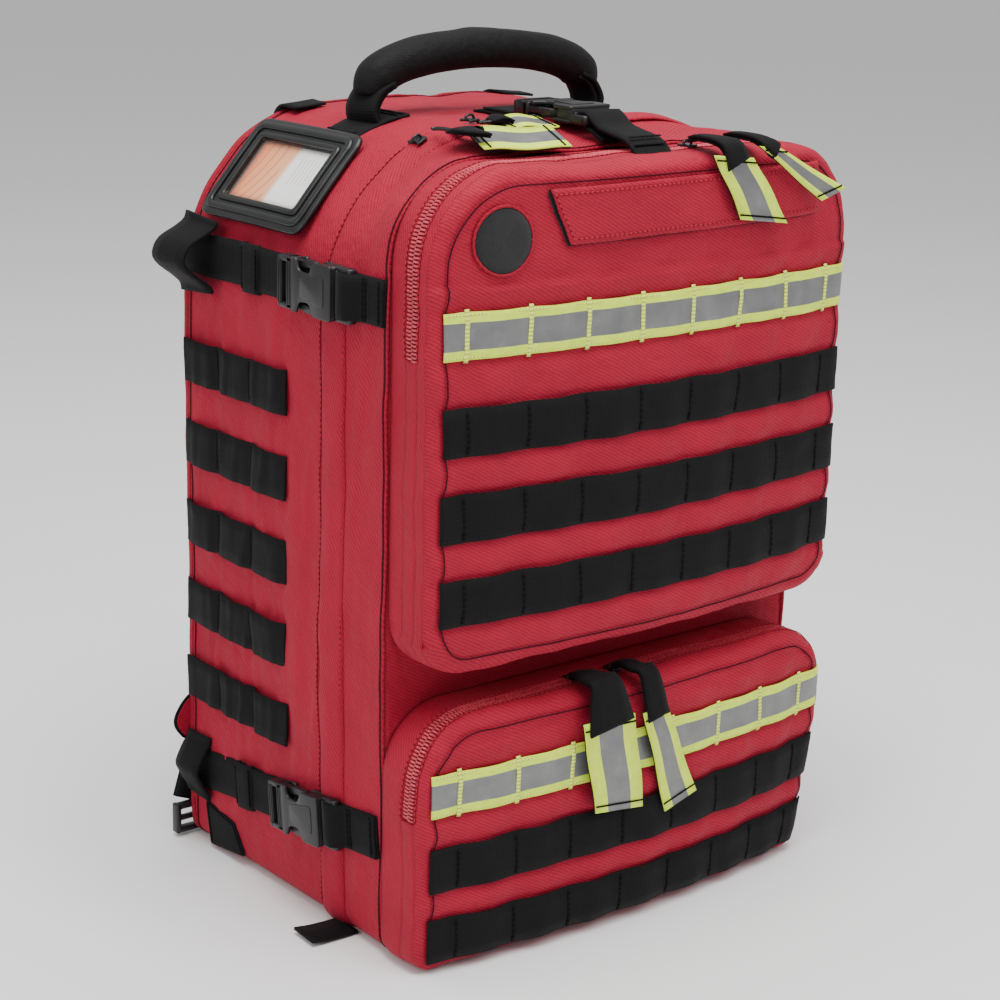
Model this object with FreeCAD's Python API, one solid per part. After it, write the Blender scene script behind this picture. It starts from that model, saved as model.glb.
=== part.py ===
import FreeCAD, Part
import math
import os

# Trauma backpack: a zip-open clamshell pack with two front pockets.
# Millimetres. +X is the wearer's left-to-right seen from the front, the front faces -Y, +Z is up.
# The origin is on the ground under the middle of the pack's box.

V = FreeCAD.Vector

# Driving dimensions
HALF_W = 154.0            # half width of the body
TOP = 456.0               # height of the body without its handle
CORNER_R = 97.0           # radius of the shoulder corners
FOOT_R = 12.0             # radius of the bottom corners
REAR_Y = 105.0            # rear edge of the main compartment
SEAM_Y = -48.0            # main zip, where the lid meets the main compartment
LID_Y = -99.0             # front face of the lid
POCKET_EDGE_Y = -134.0    # front edge of the pockets at their sides
POCKET_BULGE = 12.0       # how far the pocket fronts bow out in the middle
LID_TOP = 448.0
LID_CORNER_R = 55.0
WALL = 3.0                # padded nylon wall
POCKET_WALL = 2.5
GAP = 0.3                 # clearance between separate soft bodies
WEB_T = 1.8               # webbing thickness
WEB_H = 26.0              # webbing width
TAPE_W = 6.0              # visible width of the zip tape

UPPER_HALF_W = 153.5
UPPER_LOW = 176.0
UPPER_TOP = 447.0
UPPER_R = 52.0
UPPER_SPLIT_Z = 347.0     # where the upper pocket's zip ends
UPPER_ZIP_Y = -118.0
LOWER_HALF_W = 156.0
LOWER_LOW = 2.0
LOWER_TOP = 149.0
LOWER_R = 38.0
LOWER_SPLIT_Z = 92.0
LOWER_ZIP_Y = -125.0

PALS_PITCH = 50.0
SIDE_ROWS = [322.0 - PALS_PITCH * i for i in range(5)]
UPPER_ROWS = [324.0, 276.6, 229.8]
LOWER_ROWS = [76.0, 32.9]
UPPER_REFLECTIVE = 374.8
LOWER_REFLECTIVE = 119.9
REFLECTIVE_H = 25.0

FRONT_R = (HALF_W ** 2 + POCKET_BULGE ** 2) / (2 * POCKET_BULGE)
FRONT_Y = POCKET_EDGE_Y - POCKET_BULGE
CORNER_X = HALF_W - CORNER_R
CORNER_Z = TOP - CORNER_R


def save(node, *solids):
    os.makedirs("parts", exist_ok=True)
    shape = solids[0] if len(solids) == 1 else Part.makeCompound(list(solids))
    shape.exportStep("parts/" + node + ".step")


def block(x, y, z):
    """A box between three pairs of limits."""
    return Part.makeBox(x[1] - x[0], y[1] - y[0], z[1] - z[0], V(x[0], y[0], z[0]))


def mirrored(shape):
    return shape.mirror(V(0, 0, 0), V(1, 0, 0))


def both(shape):
    return [shape, mirrored(shape)]


def polygon_prism(points, direction):
    """Extrude a closed outline of 3-D points."""
    wire = Part.makePolygon([V(*p) for p in points] + [V(*points[0])])
    return Part.Face(wire).extrude(V(*direction))


def outline(half_w, low, top, r_top, r_low, y):
    """Rounded upright outline in a plane of constant Y."""
    corners = [(half_w, low, r_low, -90), (half_w, top, r_top, 0),
               (-half_w, top, r_top, 90), (-half_w, low, r_low, 180)]
    edges = []
    last = None
    first = None
    for x, z, r, start in corners:
        cx = x - math.copysign(r, x)
        cz = z + r if z == low else z - r
        pts = []
        for step in (0, 45, 90):
            a = math.radians(start + step)
            pts.append(V(cx + r * math.cos(a), y, cz + r * math.sin(a)))
        if last is not None:
            edges.append(Part.LineSegment(last, pts[0]).toShape())
        else:
            first = pts[0]
        edges.append(Part.Arc(*pts).toShape())
        last = pts[2]
    edges.append(Part.LineSegment(last, first).toShape())
    return Part.Wire(edges)


def slab(wire, depth):
    return Part.Face(wire).extrude(V(0, depth, 0))


def band(half_w, low, top, r_top, r_low, y, depth, wall, inset=0.0):
    """Open-ended fabric band that follows a rounded outline."""
    outer = outline(half_w - inset, low + inset, top - inset, r_top - inset, r_low - inset, y)
    t = inset + wall
    inner = outline(half_w - t, low + t, top - t, r_top - t, max(r_low - t, 2.0), y)
    return slab(outer, depth).cut(slab(inner, depth))


def front_region(offset):
    """Everything behind the bowed front surface moved forward by offset."""
    radius = FRONT_R + offset
    centre = V(0, FRONT_Y + FRONT_R, -10)
    return Part.makeCylinder(radius, 520, centre)


def on_front(face_prism, offset, thickness):
    """A layer that lies on the bowed front, cut to an outline extruded along Y."""
    layer = front_region(offset + thickness).cut(front_region(offset))
    return layer.common(face_prism)


def front_rect(x0, x1, z0, z1, offset, thickness):
    return on_front(block((x0, x1), (-170, -120), (z0, z1)), offset, thickness)


def on_side(y, z, offset, thickness):
    """A flat layer on the +X side panel."""
    x = HALF_W + offset
    return block((x, x + thickness), y, z)


def on_shoulder(x0, x1, y, offset, thickness):
    """A layer that follows the +X shoulder corner of the body."""
    centre = V(CORNER_X, y[0], CORNER_Z)
    depth = y[1] - y[0]
    r = CORNER_R + offset
    outer = Part.makeCylinder(r + thickness, depth, centre, V(0, 1, 0))
    inner = Part.makeCylinder(r, depth, centre, V(0, 1, 0))
    return outer.cut(inner).common(block((x0, x1), y, (CORNER_Z, TOP + 30)))


def pocket(half_w, low, top, r_top, r_low):
    """Pocket shell with a bowed front, open towards the lid."""
    y0 = -170.0
    depth = LID_Y - GAP - y0
    outer = slab(outline(half_w, low, top, r_top, r_low, y0), depth).common(front_region(0))
    w = POCKET_WALL
    hollow = slab(outline(half_w - w, low + w, top - w, r_top - w, r_low - w, y0), depth + 1)
    return outer.cut(hollow.common(front_region(-w)))


def split_pocket(shell, split_z, zip_y):
    """Part a pocket shell into its fixed body and the flap in front of the zip."""
    cutter = block((-200, 200), (-200, zip_y), (split_z, 520))
    gap_cutter = block((-200, 200), (-200, zip_y + GAP), (split_z - GAP, 520))
    return shell.cut(gap_cutter), shell.common(cutter)


# Main compartment ---------------------------------------------------------------------------

def main_compartment():
    save("main_gusset", band(HALF_W, 0, TOP, CORNER_R, FOOT_R, SEAM_Y + GAP + TAPE_W,
                             REAR_Y - SEAM_Y - GAP - TAPE_W, WALL))
    save("main_zip_tape_rear", band(HALF_W, 0, TOP, CORNER_R, FOOT_R, SEAM_Y + GAP,
                                    TAPE_W, 2.0, 0.3))
    t = WALL
    save("back_panel", slab(outline(HALF_W - t, t, TOP - t, CORNER_R - t, FOOT_R - t,
                                    REAR_Y - 5.5), 5.0))
    t = 14.0
    save("frame_sheet", slab(outline(HALF_W - t, t, TOP - t, CORNER_R - t, 8.0,
                                     REAR_Y - 8.0), 2.0))
    save("base_board", block((-138, 138), (-38, 94), (3.2, 6.2)))
    save("inner_mesh_pocket", block((-120, 120), (94.6, 96.6), (30, 230)))


def back_system():
    pads = []
    for z in ((62, 150), (166, 290), (306, 392)):
        pad = block((18, 104), (REAR_Y + 0.2, REAR_Y + 12.0), z)
        pads += both(pad.makeFillet(5.0, [e for e in pad.Edges
                                          if abs(e.CenterOfMass.y - REAR_Y - 12.0) < 0.1]))
    save("back_pads", *pads)

    fin = polygon_prism([(118, REAR_Y + 0.3, 98), (152, REAR_Y + 0.3, 96),
                         (165, REAR_Y + 0.3, 84), (164, REAR_Y + 0.3, 64),
                         (118, REAR_Y + 0.3, 52)], (0, 8.0, 0))
    save("hip_fins", *both(fin))

    # Shoulder straps: an outline seen from behind, cut from a slab curved in side view.
    side = [(REAR_Y + 0.3, 440), (REAR_Y + 0.3, 426), (REAR_Y + 20, 380), (REAR_Y + 25, 300),
            (REAR_Y + 22, 200), (REAR_Y + 17, 128), (REAR_Y + 28, 128), (REAR_Y + 36, 200),
            (REAR_Y + 39, 300), (REAR_Y + 34, 385), (REAR_Y + 14, 440)]
    profile = polygon_prism([(0, y, z) for y, z in side], (200, 0, 0))
    rear = [(34, 445), (92, 445), (98, 360), (104, 280), (120, 190), (134, 120),
            (98, 120), (66, 190), (46, 280), (36, 360)]
    cut = polygon_prism([(x, 90, z) for x, z in rear], (0, 90, 0))
    strap = profile.common(cut)
    save("shoulder_strap_right", strap)
    save("shoulder_strap_left", mirrored(strap))

    web = polygon_prism([(104, REAR_Y + 20, 126.5), (129, REAR_Y + 20, 126.5),
                         (165, REAR_Y + 5, 22.5), (141, REAR_Y + 5, 22.5)], (0, 1.8, 0))
    save("strap_webbing", *both(web))

    lock = block((140, 166), (REAR_Y + 0.6, REAR_Y + 7.6), (1.5, 21.5))
    for z in (5.0, 13.0):
        lock = lock.cut(block((143, 163), (REAR_Y, REAR_Y + 9), (z, z + 4.6)))
    save("ladder_locks", *both(lock))

    tab_x = HALF_W + 0.4
    tab = polygon_prism([(tab_x, 88, 30), (tab_x, 55, 25), (tab_x, 43, 7), (tab_x, 82, 2)],
                        (WEB_T, 0, 0))
    save("corner_tabs", *both(tab))

    y = REAR_Y + 39.6
    half = block((22, 74), (y, y + WEB_T), (318, 338))
    save("sternum_strap", *both(half))
    female = block((4, 34), (y + 2.4, y + 9.4), (316, 340))
    female = female.cut(block((3, 22), (y + 4.2, y + 7.6), (315, 341)))
    save("sternum_female", female)
    male = block((-34, -14), (y + 2.4, y + 9.4), (316, 340))
    for z in ((317, 321), (326, 330), (335, 339)):
        male = male.fuse(block((-15, 19), (y + 4.6, y + 7.2), z))
    save("sternum_male", male)


def side_fittings():
    rows = []
    for top in SIDE_ROWS:
        rows += both(on_side((-5, REAR_Y - 0.5), (top - WEB_H, top), 0.4, WEB_T))
    save("side_webbing", *rows)

    # Insert window on the shoulder of the -X side.
    angle = math.degrees(math.atan2(0.661, 0.751))

    def plate(dist, thick, half_v, half_y, centre_y=39.5):
        p = block((dist, dist + thick), (centre_y - half_y, centre_y + half_y), (-half_v, half_v))
        p.rotate(V(0, 0, 0), V(0, 1, 0), -angle)
        p.translate(V(CORNER_X, 0, CORNER_Z))
        return mirrored(p)

    save("id_card", plate(97.4, 0.6, 20, 35.5))
    save("id_window", plate(98.4, 0.5, 28, 45))
    frame = plate(99.0, 3.4, 33, 50.5).cut(plate(98.0, 6.0, 21, 36))
    save("id_frame", frame)


# Side-release buckles -----------------------------------------------------------------------
# Local frame: u runs forward along the strap, v across it, w away from the panel.

MALE_BAR = 14.0
PRONG_END = 37.0
FEMALE_START = 15.0
FEMALE_END = 64.0


def buckle_male():
    bar = block((0, MALE_BAR), (-15, 15), (0.4, 9.5))
    bar = bar.cut(block((3.5, 8.5), (-12.5, 12.5), (0, 10)))
    for v in ((-14, -9.5), (-2.2, 2.2), (9.5, 14)):
        bar = bar.fuse(block((MALE_BAR - 0.5, PRONG_END), v, (3.6, 7.0)))
    return bar


def buckle_female():
    end = block((PRONG_END + 1.5, 52), (-15, 15), (0.4, 10.4))
    shell = end.fuse(block((FEMALE_START, 40), (-15, 15), (0.4, 2.6)))
    shell = shell.fuse(block((FEMALE_START, 40), (-15, 15), (8.0, 10.4)))
    loop = block((51, FEMALE_END), (-15, 15), (0.4, 6.4))
    loop = loop.cut(block((54, 60), (-12.5, 12.5), (0, 7)))
    return shell.fuse(loop)


def strap_pair(solid, start_y, centre_z, slope):
    """Place a buckle half on both side panels. slope lifts the front end."""
    s = solid.copy()
    # u -> -Y, v -> Z, w -> X
    m = FreeCAD.Matrix(0, 0, 1, 0, -1, 0, 0, 0, 0, 1, 0, 0, 0, 0, 0, 1)
    s = s.transformGeometry(m)
    s.rotate(V(0, 0, 0), V(1, 0, 0), -slope)
    s.translate(V(HALF_W + 3.0, start_y, centre_z))
    return both(s)


UPPER_STRAP = (-10.0, 375.0, 0.0)
LOWER_STRAP = (0.0, 61.0, 6.0)


def side_strap(start_y, centre_z, slope):
    """Webbing of one strap: the rear run with its keeper, and the stub on the lid."""
    rear = block((start_y - REAR_Y + 1, -1), (-13, 13), (-2.6, -2.6 + WEB_T))
    keeper = block((-46, -29.5), (-15, 15), (-0.6, 0.9))
    stub = block((50.5, 88 if start_y < -5 else 96), (-13, 13), (-1.6, -1.6 + WEB_T))
    return rear, keeper, stub


def compression_straps():
    rears = []
    stubs = []
    females = []
    for name, place in (("upper", UPPER_STRAP), ("lower", LOWER_STRAP)):
        rear, keeper, stub = side_strap(*place)
        rears += strap_pair(rear, *place) + strap_pair(keeper, *place)
        stubs += strap_pair(stub, *place)
        females += strap_pair(buckle_female(), *place)
        right, left = strap_pair(buckle_male(), *place)
        save("buckle_male_" + name + "_right", right)
        save("buckle_male_" + name + "_left", left)
    save("compression_straps", *rears)
    save("buckle_females", *females)

    # Ground tabs at the foot of the lid share the node of the lid's short webbings.
    tab = block((HALF_W + 0.5, HALF_W + 29), (-70, -49), (0.2, 2.2))
    save("lid_strap_stubs", *(stubs + both(tab)))


def lash_loops():
    """Upright webbing loops that stand off each side panel over the ends of the straps."""
    t = 2.0
    solids = []
    x0 = HALF_W + 0.4
    for y0, y1, low, high in ((66.0, 100.0, 352.0, 398.0), (80.0, 104.5, 31.0, 74.0)):
        mid = (low + high) / 2
        outer = [(x0, low), (x0, high), (x0 + 3, high), (182, mid + 11), (186, mid),
                 (182, mid - 11), (x0 + 3, low)]
        inner = [(x0 - 1, low + 5.5), (x0 - 1, high - 5.5), (x0 + 3, high - 5.5),
                 (182 - t, mid + 9), (186 - t, mid), (182 - t, mid - 9), (x0 + 3, low + 5.5)]
        depth = (0, y1 - y0, 0)
        loop = polygon_prism([(x, y0, z) for x, z in outer], depth)
        solids += both(loop.cut(polygon_prism([(x, y0, z) for x, z in inner], depth)))
    save("lash_loops", *solids)


# Top strap and handle -----------------------------------------------------------------------

def top_strap():
    z = TOP + 0.4
    save("top_strap_rear", block((-13, 13), (-24, 14), (z, z + WEB_T)))
    m = FreeCAD.Matrix(0, 1, 0, 0, -1, 0, 0, 0, 0, 0, 1, 0, 0, 0, 0, 1)
    male = buckle_male().transformGeometry(m)
    female = buckle_female().transformGeometry(m)
    for half in (male, female):
        half.translate(V(0, -25, TOP + 2.4))
    save("buckle_male_top", male)
    save("buckle_female_top", female)
    profile = [(-66, 456.2), (-66, 458.2), (-96, 456.2), (-134, 454.6), (-134, 450.6),
               (-97, 452.0), (-97, 450.6)]
    save("top_strap_front", polygon_prism([(-13, y, h) for y, h in profile], (26, 0, 0)))


HANDLE_Y = 25.0
HANDLE_AXIS_Z = 464.8
HANDLE_HALF = 76.0
GRIP_R = 13.0


def handle():
    foot_z = 472.0
    apex = 494.0
    rise = apex - foot_z
    radius = (HANDLE_HALF ** 2 + rise ** 2) / (2 * rise)
    half_angle = math.degrees(math.asin(HANDLE_HALF / radius))
    centre = V(0, HANDLE_Y, apex - radius)
    ring = Part.makeCircle(GRIP_R, centre + V(0, 0, radius), V(1, 0, 0))
    face = Part.Face(Part.Wire([ring]))
    face.rotate(centre, V(0, 1, 0), -half_angle)
    save("handle_grip", face.revolve(centre, V(0, 1, 0), 2 * half_angle))

    leg_x = (HANDLE_HALF + 7.2, HANDLE_HALF + 11.2)
    leg = Part.makeCylinder(8.0, 4.0, V(leg_x[0], HANDLE_Y, HANDLE_AXIS_Z), V(1, 0, 0))
    leg = leg.fuse(block(leg_x, (HANDLE_Y - 8, HANDLE_Y + 8), (HANDLE_AXIS_Z, foot_z + 8)))
    save("handle_webbing", *both(leg))
    save("handle_anchors", *both(on_shoulder(62, 118, (8, 42), 0.3, WEB_T)))


# Lid and pockets ----------------------------------------------------------------------------

def lid():
    y0 = SEAM_Y - GAP - TAPE_W
    save("main_zip_tape_lid", band(HALF_W, 0, TOP, CORNER_R, FOOT_R, y0, TAPE_W, 2.0, 0.3))

    def body(t, y_rear, y_front):
        rear = outline(HALF_W - t, t, TOP - t, CORNER_R - t, FOOT_R - t, y_rear)
        front = outline(HALF_W + 1 - t, t, LID_TOP - t, LID_CORNER_R - t, FOOT_R - t, y_front)
        return Part.makeLoft([rear, front], True, True)

    save("lid_gusset", body(0, y0, LID_Y).cut(body(WALL, y0 + 0.01, LID_Y - 0.01)))
    t = WALL + 0.2
    save("lid_panel", slab(outline(HALF_W + 0.9 - t, t, LID_TOP - t, LID_CORNER_R + 4 - t,
                                   FOOT_R - t, LID_Y), 3.0))
    save("lid_mesh_pocket", block((-120, 120), (-95.6, -93.6), (50, 380)))


def pockets():
    shell = pocket(UPPER_HALF_W, UPPER_LOW, UPPER_TOP, UPPER_R, 24.0)
    body, flap = split_pocket(shell, UPPER_SPLIT_Z, UPPER_ZIP_Y)
    save("upper_pocket_body", body)
    save("upper_pocket_flap", flap)
    shell = pocket(LOWER_HALF_W, LOWER_LOW, LOWER_TOP, LOWER_R, 10.0)
    body, flap = split_pocket(shell, LOWER_SPLIT_Z, LOWER_ZIP_Y)
    save("lower_pocket_body", body)
    save("lower_pocket_flap", flap)

    rows = [front_rect(-147, 147, top - WEB_H, top, GAP, WEB_T) for top in UPPER_ROWS]
    rows += [front_rect(-150, 150, top - WEB_H, top, GAP, WEB_T) for top in LOWER_ROWS]
    save("front_webbing", *rows)
    save("upper_reflective_strip", front_rect(-147, 147, UPPER_REFLECTIVE - REFLECTIVE_H,
                                              UPPER_REFLECTIVE, GAP, 1.0))
    save("lower_reflective_strip", front_rect(-150, 150, LOWER_REFLECTIVE - REFLECTIVE_H,
                                              LOWER_REFLECTIVE, GAP, 1.0))

    def panel(points):
        return polygon_prism([(x, -170, z) for x, z in points], (0, 60, 0))

    base = panel([(-92, 435), (118, 437), (123, 405), (-77, 401)])
    disc = Part.makeCylinder(18.0, 60, V(-113, -170, 411), V(0, 1, 0))
    save("loop_fields", on_front(base, GAP, 0.8), on_front(disc, GAP, 1.0))
    label = panel([(-86, 436), (117, 438), (121, 408), (-72, 406)])
    save("name_panel", on_front(label, 1.3, 1.2))


# Zip sliders and pull tags ------------------------------------------------------------------

def slider(x, y, z, turn):
    """Slider body with its lug; turn is the roll about Y, in degrees."""
    body = block((-6.5, 6.5), (-4.5, 4.5), (0.6, 4.2))
    body = body.fuse(block((-3.5, 3.5), (-1.2, 1.2), (4.0, 7.0)))
    body.rotate(V(0, 0, 0), V(0, 1, 0), turn)
    body.translate(V(x, y, z))
    return body


def front_tag(x, y, z, corners):
    """Pull tag that runs forward from its slider over the edge and hangs down the front.

    corners are the four corners of the hanging cloth, as (x, z) offsets from the slider.
    """
    arm = block((-6.5, 6.5), (TAG_Y - y, -6.0), (1.0, 4.0))
    cloth = polygon_prism([(dx, TAG_Y - y, dz) for dx, dz in corners], (0, -TAG_T, 0))
    tag = arm.fuse(cloth)
    tag.translate(V(x, y, z))
    return tag


def top_tag(x, y, z, heading, length, width, ahead):
    """Pull tag that lies flat on the top of the pack, beside an arm from its slider."""
    tag = block((12, length), (-ahead - width / 2, -ahead + width / 2), (0, TAG_T))
    tag = tag.fuse(block((5.0, 13), (-ahead - 8, 6), (-0.4, 2.0)))
    tag.rotate(V(0, 0, 0), V(0, 0, 1), heading)
    tag.translate(V(x, y, z))
    return tag


TAG_Y = -151.5            # plane of the tags that hang down the pocket fronts
TAG_T = 2.4               # thickness of a folded pull tag
MAIN_SLIDER_A = 25.0      # degrees from the top of the corner
MAIN_SLIDER_B = 4.0


def corner_point(degrees):
    a = math.radians(degrees)
    return -CORNER_X - CORNER_R * math.sin(a), CORNER_Z + CORNER_R * math.cos(a)


def zip_pulls():
    xa, za = corner_point(MAIN_SLIDER_A)
    xb, zb = corner_point(MAIN_SLIDER_B)
    save("main_slider_outer", slider(xa, SEAM_Y, za, -MAIN_SLIDER_A))
    save("main_slider_inner", slider(xb, SEAM_Y, zb, -MAIN_SLIDER_B))
    save("main_pull_tag_outer", top_tag(xa + 3, SEAM_Y - 8, TOP + 0.9, -20, 72, 36.0, 26.0))
    save("main_pull_tag_inner", top_tag(xb + 3, SEAM_Y - 6, TOP + 2.4, -10, 42, 26.0, 0.0))

    tags = {
        "upper_%s_left": (36, [(-14, 3), (16, 0), (48, -41), (11, -36)]),
        "upper_%s_right": (63, [(-8, 6), (9, 3), (66, -24), (47, -30)]),
        "lower_%s_left": (-42, [(-18, 4), (21, 4), (34, -76), (-3, -71)]),
        "lower_%s_right": (-10, [(-8, 4), (8, 4), (44, -76), (20, -84)]),
    }
    for name, (x, corners) in tags.items():
        upper = name.startswith("upper")
        y = (UPPER_ZIP_Y if upper else LOWER_ZIP_Y) - 5
        z = UPPER_TOP if upper else LOWER_TOP
        save(name % "slider", slider(x, y, z, 0))
        save(name % "pull_tag", front_tag(x, y, z, corners))


main_compartment()
back_system()
side_fittings()
compression_straps()
lash_loops()
top_strap()
handle()
lid()
pockets()
zip_pulls()
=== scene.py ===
import math
import random

import bpy
import numpy as np
from mathutils import Matrix, Vector, noise


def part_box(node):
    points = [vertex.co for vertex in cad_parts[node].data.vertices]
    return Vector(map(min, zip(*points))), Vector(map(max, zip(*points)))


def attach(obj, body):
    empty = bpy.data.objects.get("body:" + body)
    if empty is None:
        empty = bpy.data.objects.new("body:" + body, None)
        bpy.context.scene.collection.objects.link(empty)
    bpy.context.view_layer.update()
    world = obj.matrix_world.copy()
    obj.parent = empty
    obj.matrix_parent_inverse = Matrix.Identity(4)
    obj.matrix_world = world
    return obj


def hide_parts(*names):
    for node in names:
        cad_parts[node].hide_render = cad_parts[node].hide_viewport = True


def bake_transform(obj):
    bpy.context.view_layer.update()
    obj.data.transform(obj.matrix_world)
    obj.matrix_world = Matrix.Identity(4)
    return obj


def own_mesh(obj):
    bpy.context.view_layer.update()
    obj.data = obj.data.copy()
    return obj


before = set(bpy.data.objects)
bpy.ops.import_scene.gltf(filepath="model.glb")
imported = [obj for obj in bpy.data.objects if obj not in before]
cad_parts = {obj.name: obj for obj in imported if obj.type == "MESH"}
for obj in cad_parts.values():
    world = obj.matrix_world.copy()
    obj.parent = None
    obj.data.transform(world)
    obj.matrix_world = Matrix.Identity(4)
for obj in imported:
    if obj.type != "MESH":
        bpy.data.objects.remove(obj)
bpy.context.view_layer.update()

# Lengths below are millimetres in the frame of the part; meshes are made in metres.
MM = 0.001
HALF_W = 154.0
TOP = 456.0
CORNER_R = 97.0
FOOT_R = 12.0
REAR_Y = 105.0
SEAM_Y = -48.0
LID_Y = -99.0
LID_TOP = 448.0
LID_R = 55.0
CORNER_X = HALF_W - CORNER_R
CORNER_Z = TOP - CORNER_R
FRONT_EDGE_Y = -134.0
BULGE = 12.0
WEB_H = 26.0
TACK = 38.0
SIDE_ROWS = [322.0 - 50.0 * i for i in range(5)]
SIDE_TACKS = [-5.0, 31.0, 67.0]
FRONT_TACKS = [TACK * (i - 0.5) for i in range(-3, 5)]
UPPER = dict(name="upper", half=153.5, low=176.0, top=447.0, r_top=52.0, r_low=26.0, zip_y=-118.0,
             split=347.0, black=[324.0, 276.6, 229.8], bright=374.8, sag=3.5)
LOWER = dict(name="lower", half=156.0, low=2.0, top=149.0, r_top=38.0, r_low=10.0, zip_y=-125.0,
             split=92.0, black=[76.0, 32.9], bright=119.9, sag=-0.4)
FILLET = 9.0
FACE_START = FRONT_EDGE_Y + 3.5
REFLECTIVE_H = 25.0

random.seed(7)


# Materials ----------------------------------------------------------------------------------

class Nodes:
    """Small wrapper that keeps material building readable."""

    def __init__(self, name):
        self.mat = bpy.data.materials.new(name)
        self.mat.use_nodes = True
        self.tree = self.mat.node_tree
        self.bsdf = self.tree.nodes["Principled BSDF"]

    def add(self, kind, **settings):
        node = self.tree.nodes.new(kind)
        for key, value in settings.items():
            if hasattr(node, key):
                setattr(node, key, value)
            else:
                node.inputs[key].default_value = value
        return node

    def link(self, a, b):
        self.tree.links.new(a, b)

    def uv(self):
        return self.add("ShaderNodeUVMap", uv_map="weave").outputs[0]

    def math(self, operation, a, b=None, c=None, clamp=False):
        node = self.add("ShaderNodeMath", operation=operation, use_clamp=clamp)
        for socket, value in zip(node.inputs, (a, b, c)):
            if value is None:
                continue
            if isinstance(value, (int, float)):
                socket.default_value = value
            else:
                self.link(value, socket)
        return node.outputs[0]

    def split(self, vector):
        node = self.add("ShaderNodeSeparateXYZ")
        self.link(vector, node.inputs[0])
        return node.outputs

    def place(self):
        return self.add("ShaderNodeTexCoord").outputs["Object"]

    def wave(self, value, pitch):
        """Sine of a length, from 0 to 1."""
        turned = self.math("SINE", self.math("MULTIPLY", value, 2 * math.pi / pitch))
        return self.math("MULTIPLY_ADD", turned, 0.5, 0.5)

    def blend(self, a, share_a, b, share_b):
        return self.math("MULTIPLY_ADD", a, share_a, self.math("MULTIPLY", b, share_b))

    def noise(self, vector, scale, detail=3.0, rough=0.55):
        node = self.add("ShaderNodeTexNoise", Scale=scale, Detail=detail, Roughness=rough)
        self.link(vector, node.inputs["Vector"])
        return node.outputs[0]

    def ramp(self, value, stops):
        node = self.add("ShaderNodeValToRGB")
        while len(node.color_ramp.elements) < len(stops):
            node.color_ramp.elements.new(0.5)
        for element, (place, colour) in zip(node.color_ramp.elements, stops):
            element.position = place
            element.color = colour if len(colour) == 4 else (*colour, 1.0)
        self.link(value, node.inputs[0])
        return node.outputs[0]

    def bump(self, height, strength, distance, below=None):
        node = self.add("ShaderNodeBump", Strength=strength, Distance=distance)
        self.link(height, node.inputs["Height"])
        if below is not None:
            self.link(below, node.inputs["Normal"])
        return node.outputs[0]

    def surface(self, colour=None, rough=None, normal=None, **fixed):
        if colour is not None:
            self.link(colour, self.bsdf.inputs["Base Color"])
        if rough is not None:
            self.link(rough, self.bsdf.inputs["Roughness"])
        if normal is not None:
            self.link(normal, self.bsdf.inputs["Normal"])
        for key, value in fixed.items():
            self.bsdf.inputs[key.replace("_", " ")].default_value = value
        return self.mat


def scaled(colour, k):
    return tuple(min(1.0, c * k) for c in colour)


def threads(n, pitch_u, pitch_v):
    """Height of a plain weave from the weave map, in metres per repeat."""
    u, v, _ = n.split(n.uv())
    a = n.math("SINE", n.math("MULTIPLY", u, 2 * math.pi / pitch_u))
    b = n.math("SINE", n.math("MULTIPLY", v, 2 * math.pi / pitch_v))
    return n.math("MULTIPLY_ADD", n.math("MULTIPLY", a, b), 0.5, 0.5)


def nylon(name, colour, pitch=0.0011, lift=1.0):
    """Coated woven nylon: basket weave, faint twill lines, uneven dye and dull sheen."""
    n = Nodes(name)
    uv = n.uv()
    u, v, _ = n.split(uv)
    weave = threads(n, pitch, pitch)
    slant = n.math("ADD", n.math("MULTIPLY", u, 0.55), v)
    warp = n.noise(uv, 60.0, 2.0)
    twill_phase = n.math("MULTIPLY_ADD", slant, 2 * math.pi / 0.0021, n.math("MULTIPLY", warp, 9.0))
    twill = n.math("MULTIPLY_ADD", n.math("SINE", twill_phase), 0.5, 0.5)
    place = n.place()
    cloud = n.noise(place, 26.0, 4.0)
    fleck = n.noise(uv, 900.0, 2.0)
    tone = n.blend(weave, 0.26, twill, 0.27)
    tone = n.math("ADD", tone, n.blend(cloud, 0.26, fleck, 0.30))
    shade = n.ramp(tone, [(0.18, scaled(colour, 0.52)), (0.60, colour), (0.98, scaled(colour, 1.42))])
    fine = n.bump(weave, 0.35 * lift, 0.0003)
    coarse = n.bump(twill, 0.30 * lift, 0.0004, fine)
    crease = n.bump(n.noise(place, 38.0, 6.0, 0.6), 0.75, 0.0045, coarse)
    rough = n.math("MULTIPLY_ADD", fleck, 0.16, 0.60)
    return n.surface(shade, rough, crease, Sheen_Weight=0.02, Sheen_Roughness=0.45,
                     Specular_IOR_Level=0.16)


def ribbed(name, colour):
    """Woven webbing: ribs across the length, herringbone body, and a painted highlight that lightens the
    rib crests, with random fuzz and patches.
    """
    n = Nodes(name)
    uv = n.uv()
    u, v, _ = n.split(uv)
    ribs = n.wave(u, 0.0013)
    rows = n.wave(v, 0.0021)
    fuzz = n.noise(uv, 1400.0, 2.0)
    cloud = n.noise(n.place(), 40.0, 3.0)
    tone = n.blend(ribs, 0.34, rows, 0.18)
    tone = n.math("ADD", tone, n.blend(fuzz, 0.30, cloud, 0.22))
    # The light end of this ramp, reached on the rib crests, is a painted highlight.
    shade = n.ramp(tone, [(0.15, scaled(colour, 0.55)), (0.6, colour), (1.0, scaled(colour, 1.7))])
    height = n.blend(ribs, 0.7, rows, 0.4)
    normal = n.bump(height, 0.5, 0.0003)
    return n.surface(shade, n.math("MULTIPLY_ADD", fuzz, 0.15, 0.72), normal, Sheen_Weight=0.02,
                     Sheen_Roughness=0.4, Specular_IOR_Level=0.18)


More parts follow.
